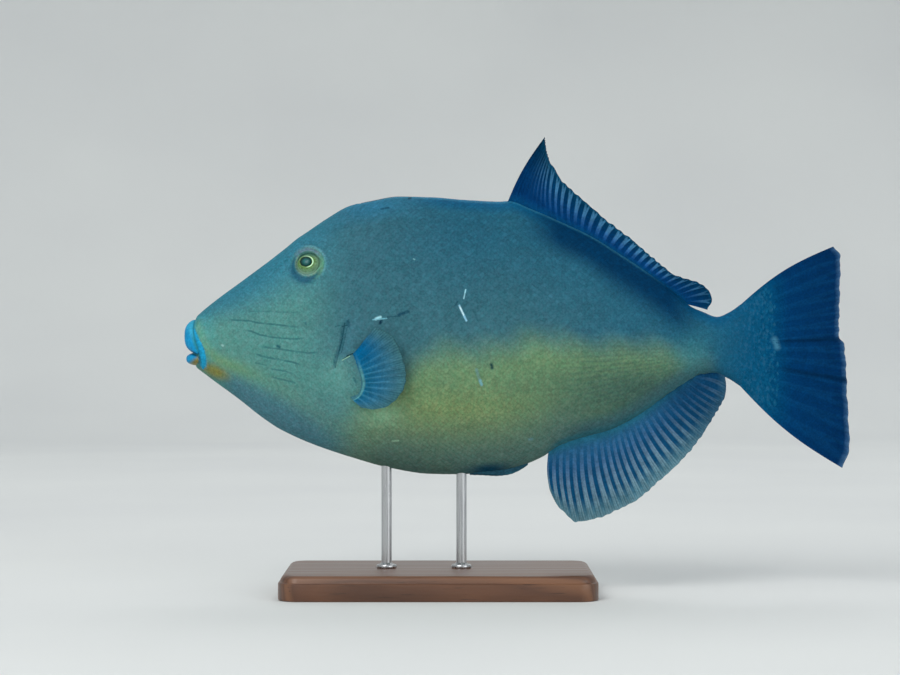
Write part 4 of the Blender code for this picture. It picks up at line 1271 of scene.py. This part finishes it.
def plate_tops(count, places):
    """Triangles from the middle of each plate to its corners, where each plate has so many places."""
    ring = np.arange(1, 1 + PLATE_SIDES)
    top = np.stack([ring, np.roll(ring, -1), 0 * ring], -1)
    return (top + (np.arange(count) * places)[:, None, None]).reshape(-1, 3)


def add_tail_plates(shape, side, rng):
    """Small plates strewn on the fleshy root of the tail fin, fewer towards its rays."""
    i, j = (index.ravel() for index in np.meshgrid(np.arange(16), np.arange(1, 49), indexing="ij"))
    share = 0.07 + 0.024 * i + rng.normal(0, 0.006, i.size)
    v = (j + 0.5 * (i % 2)) / 50 + rng.normal(0, 0.003, i.size)
    keep = (rng.random(i.size) < 1.05 - 1.1 * ease(share, 0.16, 0.44)) & (v > 0.03) & (v < 0.97)
    share, v = share[keep], v[keep]
    count = len(share)
    size = 0.036 * (1 + 0.18 * rng.normal(0, 1, count))[:, None]
    along, down = PLATE_PLACES.T
    middle, half, _ = tail_sheet(v[:, None] + size * down, share[:, None] + 0.8 * size * along)
    lift = 0.04 + 0.04 * np.concatenate([[1.0], 0.9 * PLATE_CORNERS[:, 0]])
    middle[..., 1] += side * (half + lift)
    flat = middle.reshape(-1, 3)
    root = middle[:, :1, ::2] / MAP_SIZE + (0, 0.5)
    patch = (root + 2 * PATCH_HALF * PLATE_PLACES).reshape(-1, 2)
    # each plate's own random tone, and its edges darker than its middle as painted shade between the plates
    tone_and_gap_shade = np.repeat(1.1 * rng.normal(0, 1, count), len(along)) + np.tile([0.9] + [-1.0] * PLATE_SIDES, count)
    tops = facing(flat, plate_tops(count, len(along)), (0, side, 0))
    add_skin(shape, flat, tops, uv_OFBake=patch, scale_shade=tone_and_gap_shade)


# The head's other pieces


def make_lip(name, centre, corner, front_half, corner_half, lower, made_of):
    """A lip swept from corner to corner round the front of the jaws, its halves given as depth and height."""
    turns = np.linspace(-0.5 * math.pi, 0.5 * math.pi, 61)
    around = full_turn(28)
    blend = 1 - np.cos(turns)
    s = centre[0] + (corner[0] - centre[0]) * blend
    h = centre[2] + (corner[2] - centre[2]) * blend
    y = corner[1] * np.sin(turns)
    depth, height = (front + (rear - front) * blend[:, None] for front, rear in zip(front_half, corner_half))
    outward = np.stack([-np.cos(turns), np.sin(turns), 0 * turns], -1)[:, None]
    folds = 0.05 * np.sin(turns * 34)[:, None] * ease(np.cos(around), 0.0, 0.8)
    swell = np.sign(np.cos(around)) * np.abs(np.cos(around)) ** 0.85
    climb = np.sign(np.sin(around)) * np.abs(np.sin(around)) ** 0.8
    recess = 1.9 * np.abs(climb) ** 3 * np.cos(turns)[:, None]
    rings = np.stack([s, y, h], -1)[:, None] + (depth * (swell + folds) - recess)[..., None] * outward
    rings = rings + (height * climb)[..., None] * (0, 0, 1.0)
    upward = 1 if lower else -1
    length, level = rings[..., 0], rings[..., 2]
    given = {
        "inner": np.tile(ease(upward * np.sin(around), 0.55, 0.95), len(turns)),
        "rim": np.tile(ease(-upward * np.sin(around), 0.2, 0.9), len(turns)),
        "ochre": ease(0.6 * (length - 3.2) - 0.7 * (level + 6.8), 0.0, 2.2).ravel() * lower,
        "back": ease(length - 0.45 * np.maximum(0, 2 - level), 3.6, 5.6).ravel() * (not lower),
    }
    shape = Shape()
    closed = capped(rings, rings.mean(1)[[0, -1]] + (0.8, 0, 0))
    shape.add(*closed, closed=True, **{key: np.append(value, [0, 0]) for key, value in given.items()})
    lip = shape.build(name, made_of)
    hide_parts(name)
    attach(lip, "root")


def make_eye(side, made_of):
    """An eyeball with a low swell over the pupil, its map centred where the fish looks."""
    name = sided("eye", side)
    point, normal, ahead, upward = eye_axes(side)
    centre = point - math.sqrt(EYE_RADIUS**2 - EYE_OPENING**2) * normal
    tilt = np.concatenate([np.linspace(0, 0.9, 28), np.linspace(0.95, math.pi, 14)])[1:, None]
    turns = full_turn(64)
    radius = EYE_RADIUS - 0.12 + 0.2 * hump(tilt, 0.42) - 0.07 * hump(tilt - 0.44, 0.05)
    across, raised = radius * np.sin(tilt) * np.cos(turns), radius * np.sin(tilt) * np.sin(turns)
    out = radius * np.cos(tilt) + 0 * turns
    points = centre + across[..., None] * ahead + raised[..., None] * upward + out[..., None] * normal
    pole = centre + (EYE_RADIUS + 0.08) * normal
    flat = np.concatenate([points.reshape(-1, 3), pole[None]])
    sides = grid_faces(len(tilt), len(turns), wrap=True)
    front = fan(range(len(turns))[::-1], len(flat) - 1)
    gaze = (flat[:, ::2] - EYE_PLACE - PUPIL_SHIFT) / GAZE_SIZE + 0.5
    shape = Shape()
    shape.add(flat, sides, front, closed=True, uv_gaze=gaze)
    eye = shape.build(name, made_of)
    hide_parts(name)
    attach(eye, "root")


def make_scutes(side, made_of):
    """The enlarged plates above the side fin."""
    shape = Shape()
    a, b = np.meshgrid(np.linspace(0, 1, 7), np.linspace(0, 1, 7), indexing="ij")
    u, w = a + b - 1, a - b
    edge = np.minimum(np.minimum(a, b), np.minimum(1 - a, 1 - b))
    rim = [i * 7 for i in range(7)] + [42 + j for j in range(1, 7)]
    rim += [i * 7 + 6 for i in range(5, -1, -1)] + list(range(5, 0, -1))
    for number, (s, h, long, high) in enumerate(SCUTES):
        places, normals = on_skin(s + 0.46 * long * u, h + 0.46 * high * w, side)
        bumps = 0.06 * np.sin(9 * a + 2 * number) * np.sin(8 * b + number)
        lift = relief(*np.moveaxis(places, -1, 0)) - 0.12 + 0.28 * ease(edge, 0, 0.17)
        lift = lift + 0.1 * u * (edge > 0) + 0.5 * bumps
        corners = (places + normals * lift[..., None]).reshape(-1, 3)
        middle = corners.mean(0) - 0.8 * on_skin(s, h, side)[1]
        points = np.concatenate([corners, middle[None]])
        add_skin(shape, points, grid_faces(7, 7), fan(rim[::-1], 49), closed=True)
    scutes = shape.build(sided("scutes", side), made_of, sharp=50)
    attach(scutes, "root")


def make_first_dorsal():
    """The folded first dorsal fin: rough spines with the skin between them, in the trough of the back."""
    shape = Shape()
    for spine in SPINES:
        along = np.linspace(spine[0][0], spine[-1][0], 60)
        radius = smooth_through(spine)(along) * (1 + 0.08 * np.sin(along * 3.1))
        radius = radius * np.sqrt(np.clip((along - along[0] + 0.15) / 1.2, 0.02, 1))
        middle = np.stack([along, 0 * along, back(along) - np.maximum(radius, 0.3) - 0.12], -1)
        shape.add(*tube(middle, sideways(radius), radius[:, None] * (0, 0, 1.0)), closed=True)
    s = np.linspace(SPINES[0][0][0] + 1, TROUGH[-1][0] - 2.5, 120)[:, None]
    share = np.linspace(0, 1, 8)[None, :]
    low = back(s) - trough_depth(s) + GAP
    high = back(s) - 0.62 - 0.15 * np.sin(s * 1.7)
    sway = 0.22 * np.sin(s * 0.9) * share
    middle = np.stack(np.broadcast_arrays(s, sway, low + (high - low) * share), -1)
    two_sided(shape, middle, sideways(np.minimum(0.34, trough_half(s) - GAP) * (1 - 0.4 * share)))
    fin = shape.build("first_dorsal_fin", spine_material())
    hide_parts("first_dorsal_fin")
    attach(fin, "root")


# The fins


def ray_profile(phase, part, split, ray, web, width=0.12):
    """Half the thickness of a fin at a phase from its ray and a part of the way out, its rays forking."""
    fork = split * ease(part, 0.42, 0.95)
    crest = hump(np.abs(phase) - fork, width) * (0.35 + 0.65 * ease(part, 0.0, 0.2))
    return (web + (ray - web) * crest) * (1.1 - 0.4 * part)


def make_median_fin(name, rays, foot_of, tooth, outline, direction, made_of, last_rise=0.0):
    lean, length = column_of(rays, 1), column_of(rays, 2)
    last = foot_of[-1][0]
    u = np.linspace(0, last, last * 14 + 1)[:, None]
    share = np.linspace(0, 1, 44)[None, :]
    feet = smooth_through(foot_of)(u)
    angle = np.radians(lean(feet))
    frayed = tooth * np.cos(2 * math.pi * u) + 0.2 * np.sin(5.3 * u) * np.cos(2.1 * u)
    reach = length(feet) - tooth + frayed - 1.4 * hump(last - u, 0.9)
    tucked = 2.0
    out = -tucked + (reach + tucked) * share
    part = np.clip(out / reach, 0, 1)
    bow = -RAY_BOW * reach * np.sin(math.pi * part)
    swing = WAVE * np.sin(2 * math.pi * (feet - feet[0]) / WAVE_LENGTH) + 0.35 * np.sin(2.4 * u) * part
    middle = np.stack([
        feet + np.sin(angle) * out + bow * np.cos(angle),
        swing * part**2,
        outline(feet) + direction * (1.2 * GAP + np.cos(angle) * out),
    ], -1)
    middle[..., 2] += last_rise * ease(u, last - 3, last) * (0.2 + 0.85 * np.sin(2.6 * part))
    half = ray_profile(off_ray(u), part, 0.2, 0.55, 0.18)
    half = half + 1.25 * hump(np.maximum(out, 0), 2.6) + 0.25 * hump(u, 0.35)
    half = half * (1 - 0.35 * ease(part, 0.93, 1.0))
    shape = Shape()
    two_sided(shape, middle, sideways(half), uv_rays=np.stack(np.broadcast_arrays(u, part), -1))
    fin = shape.build(name, made_of)
    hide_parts(name)
    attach(fin, "root")


def make_tail_fin(made_of):
    v = np.linspace(0, 1, TAIL_RAY_COUNT * 20 + 1)[:, None]
    share = np.linspace(0, 1, 64)[None, :]
    middle, half, u = tail_sheet(v, share)
    offset = sideways(half)
    shape = Shape()
    two_sided(shape, middle, offset, uv_rays=np.stack(np.broadcast_arrays(u, share), -1))
    places = np.concatenate([middle + offset, middle - offset]).reshape(-1, 3)
    shape.values[-1]["uv_place"] = place_map(places, places[:, 1])
    fin = shape.build("tail_fin", made_of)
    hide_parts("tail_fin")
    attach(fin, "root")


def tail_sheet(v, share):
    """The tail fin's middle, half thickness and ray, v down its hind margin and share out from its root."""
    margin_s, margin_h = column_of(TAIL_MARGIN, 1), column_of(TAIL_MARGIN, 2)
    top, bottom = back(TAIL_START) - 0.3, belly(TAIL_START) + 0.3
    foot = np.stack([np.full_like(v, TAIL_START), 0 * v, top + (bottom - top) * v], -1)
    u = v * TAIL_RAY_COUNT - 0.5
    fray = 0.12 * np.cos(4 * math.pi * u) + 0.2 * np.sin(7.1 * v * 9)
    corner = 1.6 * (hump(v, 0.022) + hump(1 - v, 0.022))
    tip = np.stack([margin_s(v) + fray - 0.2 - corner, 0 * v, margin_h(v)], -1)
    ahead = tip - foot
    outward = unit(np.stack([-ahead[..., 2], 0 * v, ahead[..., 0]], -1))
    bow = TAIL_BOW * (1 - 2 * v) ** 3 * np.sin(math.pi * share)
    middle = foot + ahead * share[..., None] + outward * bow[..., None]
    middle[..., 1] += 0.5 * np.sin(9 * v) * share**2
    for place in TAIL_CREASES:
        middle[..., 1] += 0.45 * np.tanh((u - place) / 0.25) * hump(u - place, 1.5) * share**2
    half = ray_profile(off_ray(u), share, 0.24, 0.42, 0.2, 0.1)
    out = middle[..., 0] - TAIL_START
    rounded = np.clip(1 - (2 * v - 1) ** 2, 0.012, 1) ** 0.58
    place = middle[..., 0]
    flesh = body_half(place) * (0.95 + 0.05 * ease(place, TAIL_START, TAIL_START + 9)) * rounded
    half = np.sqrt((half * ease(out, 2, 12)) ** 2 + flesh**2)
    half = half + 0.2 * (hump(v, 0.012) + hump(1 - v, 0.012))
    return middle, half * (1 - 0.4 * ease(share, 0.96, 1.0)), u


def make_pectoral_fin(side, made_of):
    name = sided("pectoral_fin", side)
    foot_s, foot_h, slope, length = (column_of(PECTORAL_RAYS, i) for i in (1, 2, 3, 4))
    count = PECTORAL_RAY_COUNT
    u = np.linspace(0, count - 1, (count - 1) * 16 + 1)[:, None]
    v = u / (count - 1)
    share = np.linspace(0, 1, 48)[None, :]
    angle = np.radians(slope(v))
    reach = length(v) + 0.15 * np.cos(2 * math.pi * u)
    tucked = 3.0
    out = -tucked + (reach + tucked) * share
    part = np.clip(out / reach, 0, 1)
    foot, _ = on_skin(foot_s(v), foot_h(v), side, 1.1 + 0 * v)
    bend = math.tan(PECTORAL_FLARE) * (np.maximum(out, 0) - 0.25 * np.maximum(out, 0) ** 2 / reach)
    bend = bend + 0.95 * np.minimum(out, 0) + 0.35 * np.sin(1.7 * u) * part
    middle = np.stack([
        foot[..., 0] + np.cos(angle) * out,
        foot[..., 1] + side * bend,
        foot[..., 2] + np.sin(angle) * out,
    ], -1)
    half = ray_profile(off_ray(u), part, 0.2, 0.45, 0.16, 0.14)
    half = half + 0.9 * hump(np.maximum(out, 0), 1.8)
    half = half * (1 - 0.3 * ease(part, 0.94, 1.0))
    off = np.array((-math.sin(PECTORAL_FLARE), side * math.cos(PECTORAL_FLARE), 0))
    shape = Shape()
    two_sided(shape, middle, half[..., None] * off, uv_rays=np.stack(np.broadcast_arrays(u, part), -1))
    fin = shape.build(name, made_of)
    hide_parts(name)
    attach(fin, "root")


def make_fins(group):
    dorsal = fin_material(
        "dorsal_membrane",
        webs=((0.0, 2, 62, 104), (0.15, 0, 50, 98), (0.5, 0, 50, 94), (0.85, 0, 48, 80), (1.0, 8, 66, 94)),
        rays=(
            (0.0, 2, 62, 106), (0.14, 6, 62, 114), (0.42, 40, 90, 142), (0.62, 60, 114, 156),
            (0.88, 58, 112, 148), (0.97, 22, 82, 110), (1.0, 16, 74, 100),
        ),
        stripe=(0.15, 0.28), front=(2.0, 12.0), rear=(22.0, 30.0, 0.8, 0.7),
        last=(24.0, 33.0, 0.35, tone(0, 48, 84)),
    )
    make_median_fin("dorsal_fin", DORSAL_RAYS, DORSAL_FEET, TOOTH, back, 1, dorsal)
    anal = fin_material(
        "anal_membrane",
        webs=(
            (0.0, 36, 98, 122), (0.1, 38, 92, 130), (0.24, 24, 78, 118), (0.42, 12, 66, 104),
            (0.74, 14, 70, 106), (0.9, 66, 110, 128), (1.0, 96, 132, 142),
        ),
        rays=(
            (0.0, 36, 98, 122), (0.12, 46, 96, 134), (0.34, 64, 102, 140), (0.55, 92, 122, 148),
            (0.76, 106, 138, 154), (0.9, 94, 130, 142), (1.0, 98, 132, 144),
        ),
        # the last rays darkened: painted shadow under the peduncle
        stripe=(0.19, 0.32), rear=(12.0, 24.0, 0.7, 0.75), last=(15.0, 24.0, 0.7, tone(10, 56, 90)),
    )
    make_median_fin("anal_fin", ANAL_RAYS, ANAL_FEET, 0.12, belly, -1, anal, last_rise=3.2)
    make_tail_fin(fin_material(
        "tail_membrane",
        webs=(
            (0.0, 6, 78, 112), (0.3, 0, 68, 106), (0.5, 0, 50, 94), (0.95, 0, 40, 82), (0.985, 44, 78, 116),
            (1.0, 76, 108, 136),
        ),
        rays=(
            (0.0, 6, 78, 112), (0.3, 2, 70, 108), (0.5, 2, 56, 100), (0.95, 2, 48, 90), (0.985, 50, 84, 120),
            (1.0, 82, 112, 140),
        ),
        split=0.24, creases=TAIL_CREASES, scaly=0.42, group=group, marks=TAIL_MARKS,
    ))
    pectoral = fin_material(
        "pectoral_membrane",
        webs=(
            (0.0, 60, 110, 122), (0.014, 78, 140, 146), (0.04, 78, 140, 148), (0.075, 18, 92, 124),
            (0.35, 30, 94, 128), (0.72, 50, 102, 122), (1.0, 62, 108, 114),
        ),
        rays=(
            (0.0, 60, 110, 122), (0.014, 80, 142, 148), (0.04, 80, 142, 150), (0.075, 40, 112, 142),
            (0.35, 52, 116, 148), (0.72, 60, 110, 130), (1.0, 66, 112, 118),
        ),
        stripe=(0.06, 0.3), glow=tone(0, 92, 140),
    )
    for side in (-1, 1):
        make_pectoral_fin(side, pectoral)


# The stand


def rounded_outline(inset):
    """The base's outline, set in by inset, as (x, y) from its middle."""
    half_x, half_y = BASE_SIZE[0] / 2 - inset, BASE_SIZE[1] / 2 - inset
    radius = BASE_CORNER - inset
    points = []
    for quarter in range(4):
        turn = quarter * math.pi / 2 + np.linspace(0, math.pi / 2, 12)
        sign_x, sign_y = (1, -1, -1, 1)[quarter], (1, 1, -1, -1)[quarter]
        x = sign_x * (half_x - radius) + radius * np.cos(turn)
        y = sign_y * (half_y - radius) + radius * np.sin(turn)
        points.append(np.stack([x, y], -1))
    return np.concatenate(points)


def make_stand():
    height = BASE_SIZE[2]
    profile = (
        (0.7, 0), (0.2, 0.2), (0, 0.7), (0, 7.6), (0.15, 8.2), (0.9, 8.6), (1.1, 9), (1.25, 9.9), (1.8, 10.9),
        (2.7, 11.6), (3.8, 11.95), (4.8, height),
    )
    foot = -AXIS_HEIGHT
    rings = []
    for inset, level in profile:
        outline = rounded_outline(inset)
        s = BASE_CENTRE_S + outline[:, 0]
        rings.append(np.stack([s, outline[:, 1], np.full(len(outline), foot + level)], -1))
    shape = Shape()
    poles = [(BASE_CENTRE_S, 0, foot), (BASE_CENTRE_S, 0, foot + height)]
    shape.add(*capped(rings, poles), closed=True)
    base = shape.build("stand_base", wood_material(), sharp=35)
    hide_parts("stand_base")
    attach(base, "root")
    steel = steel_material()
    for number, place in enumerate(ROD_PLACES, 1):
        make_rod(number, place, foot + height, steel)


def make_rod(number, place, foot, steel):
    """A rod with a low collar at its foot, its top let into the belly."""
    top = float(belly(place)) + 1.2
    profile = (
        (0, 0), (4.6, 0), (4.8, 0.25), (4.8, 1.3), (4.55, 1.65), (3.2, 1.9), (2.9, 2.3), (ROD_RADIUS, 2.6),
        (ROD_RADIUS, top - foot - 1.4), (ROD_RADIUS, top - foot), (0.0, top - foot),
    )
    turns = full_turn(48)
    r, level = np.array(profile).T[..., None]
    rings = np.stack(np.broadcast_arrays(place + r * np.cos(turns), r * np.sin(turns), foot + level), -1)
    shape = Shape()
    shape.add(rings, grid_faces(*rings.shape[:2], wrap=True), closed=True)
    name = f"stand_rod_{number}"
    rod = shape.build(name, steel, sharp=40)
    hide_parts(name)
    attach(rod, "root")


# The set


def make_set():
    """A pale floor that curves up into a wall all the way round."""
    wall = [(0.0, 0.0), (1.7, 0.0)]
    wall += [(1.7 + 0.9 * math.sin(a), 0.9 - 0.9 * math.cos(a)) for a in np.linspace(0.08, math.pi / 2, 16)]
    wall.append((2.6, 3.2))
    turns = full_turn(96)
    r, z = np.array(wall).T[..., None]
    places = np.stack(np.broadcast_arrays(r * np.cos(turns), r * np.sin(turns), z), -1).reshape(-1, 3)
    mesh = bpy.data.meshes.new("set")
    mesh.from_pydata(places.tolist(), [], grid_faces(len(wall), len(turns), wrap=True).tolist())
    mesh.shade_smooth()
    made = Nodes("set", 0.9, Specular_IOR_Level=0.2)
    grain = made.noise(0.35, 2.0)
    mesh.materials.append(made.finish(made.ramp(grain, (0.3, 214, 216, 216), (0.7, 220, 222, 221))))
    stage = bpy.data.objects.new("set", mesh)
    bpy.context.scene.collection.objects.link(stage)


def add_light(name, place, target, size, power, colour):
    lamp = bpy.data.lights.new(name, "AREA")
    lamp.shape = "DISK"
    lamp.size = size
    lamp.energy = power
    lamp.color = colour
    holder = bpy.data.objects.new(name, lamp)
    holder.location = place
    way = np.array(target) - np.array(place)
    tilt = math.acos(-way[2] / np.linalg.norm(way))
    holder.rotation_euler = (tilt, 0, math.atan2(way[1], way[0]) - math.pi / 2)
    bpy.context.scene.collection.objects.link(holder)


def make_lights():
    middle = (0, 0, 0.12)
    add_light("key", (-0.9, -1.5, 1.5), middle, 1.3, 24, (1.0, 0.99, 0.97))
    add_light("fill", (1.4, -1.3, 0.6), middle, 1.4, 10, (0.97, 0.99, 1.0))
    add_light("rim", (0.3, 1.5, 1.7), middle, 1.4, 9, (1.0, 1.0, 1.0))
    world = bpy.data.worlds.new("soft")
    world.use_nodes = True
    sky = world.node_tree.nodes["Background"]
    sky.inputs["Color"].default_value = (0.93, 0.97, 1.0, 1)
    sky.inputs["Strength"].default_value = 0.75
    bpy.context.scene.world = world


def make_camera():
    data = bpy.data.cameras.new("camera")
    data.sensor_width = 36.0
    data.lens = data.sensor_width * CAMERA_DISTANCE / FRAME_WIDTH
    data.clip_end = 20.0
    camera = bpy.data.objects.new("camera", data)
    camera.location = (FRAME_CENTRE[0] * MM, -CAMERA_DISTANCE * MM, FRAME_CENTRE[1] * MM)
    camera.rotation_euler = (math.pi / 2, 0, 0)
    bpy.context.scene.collection.objects.link(camera)
    bpy.context.scene.camera = camera


make_camera()
make_set()
make_lights()
bpy.context.scene.view_settings.view_transform = "Standard"
marks = scar_group()
make_skin(marks)
scaly_skin = skin_material("scales", marks, fine=0.7, shaded=True)
left_flank = Flank()
for fish_side in (-1, 1):
    make_scales(left_flank, fish_side, scaly_skin)
    make_scutes(fish_side, scaly_skin)
blue = lip_material()
make_lip("upper_lip", *UPPER_LIP, False, blue)
make_lip("lower_lip", *LOWER_LIP, True, blue)
eye = eye_material()
for fish_side in (-1, 1):
    make_eye(fish_side, eye)
make_first_dorsal()
make_fins(marks)
make_stand()
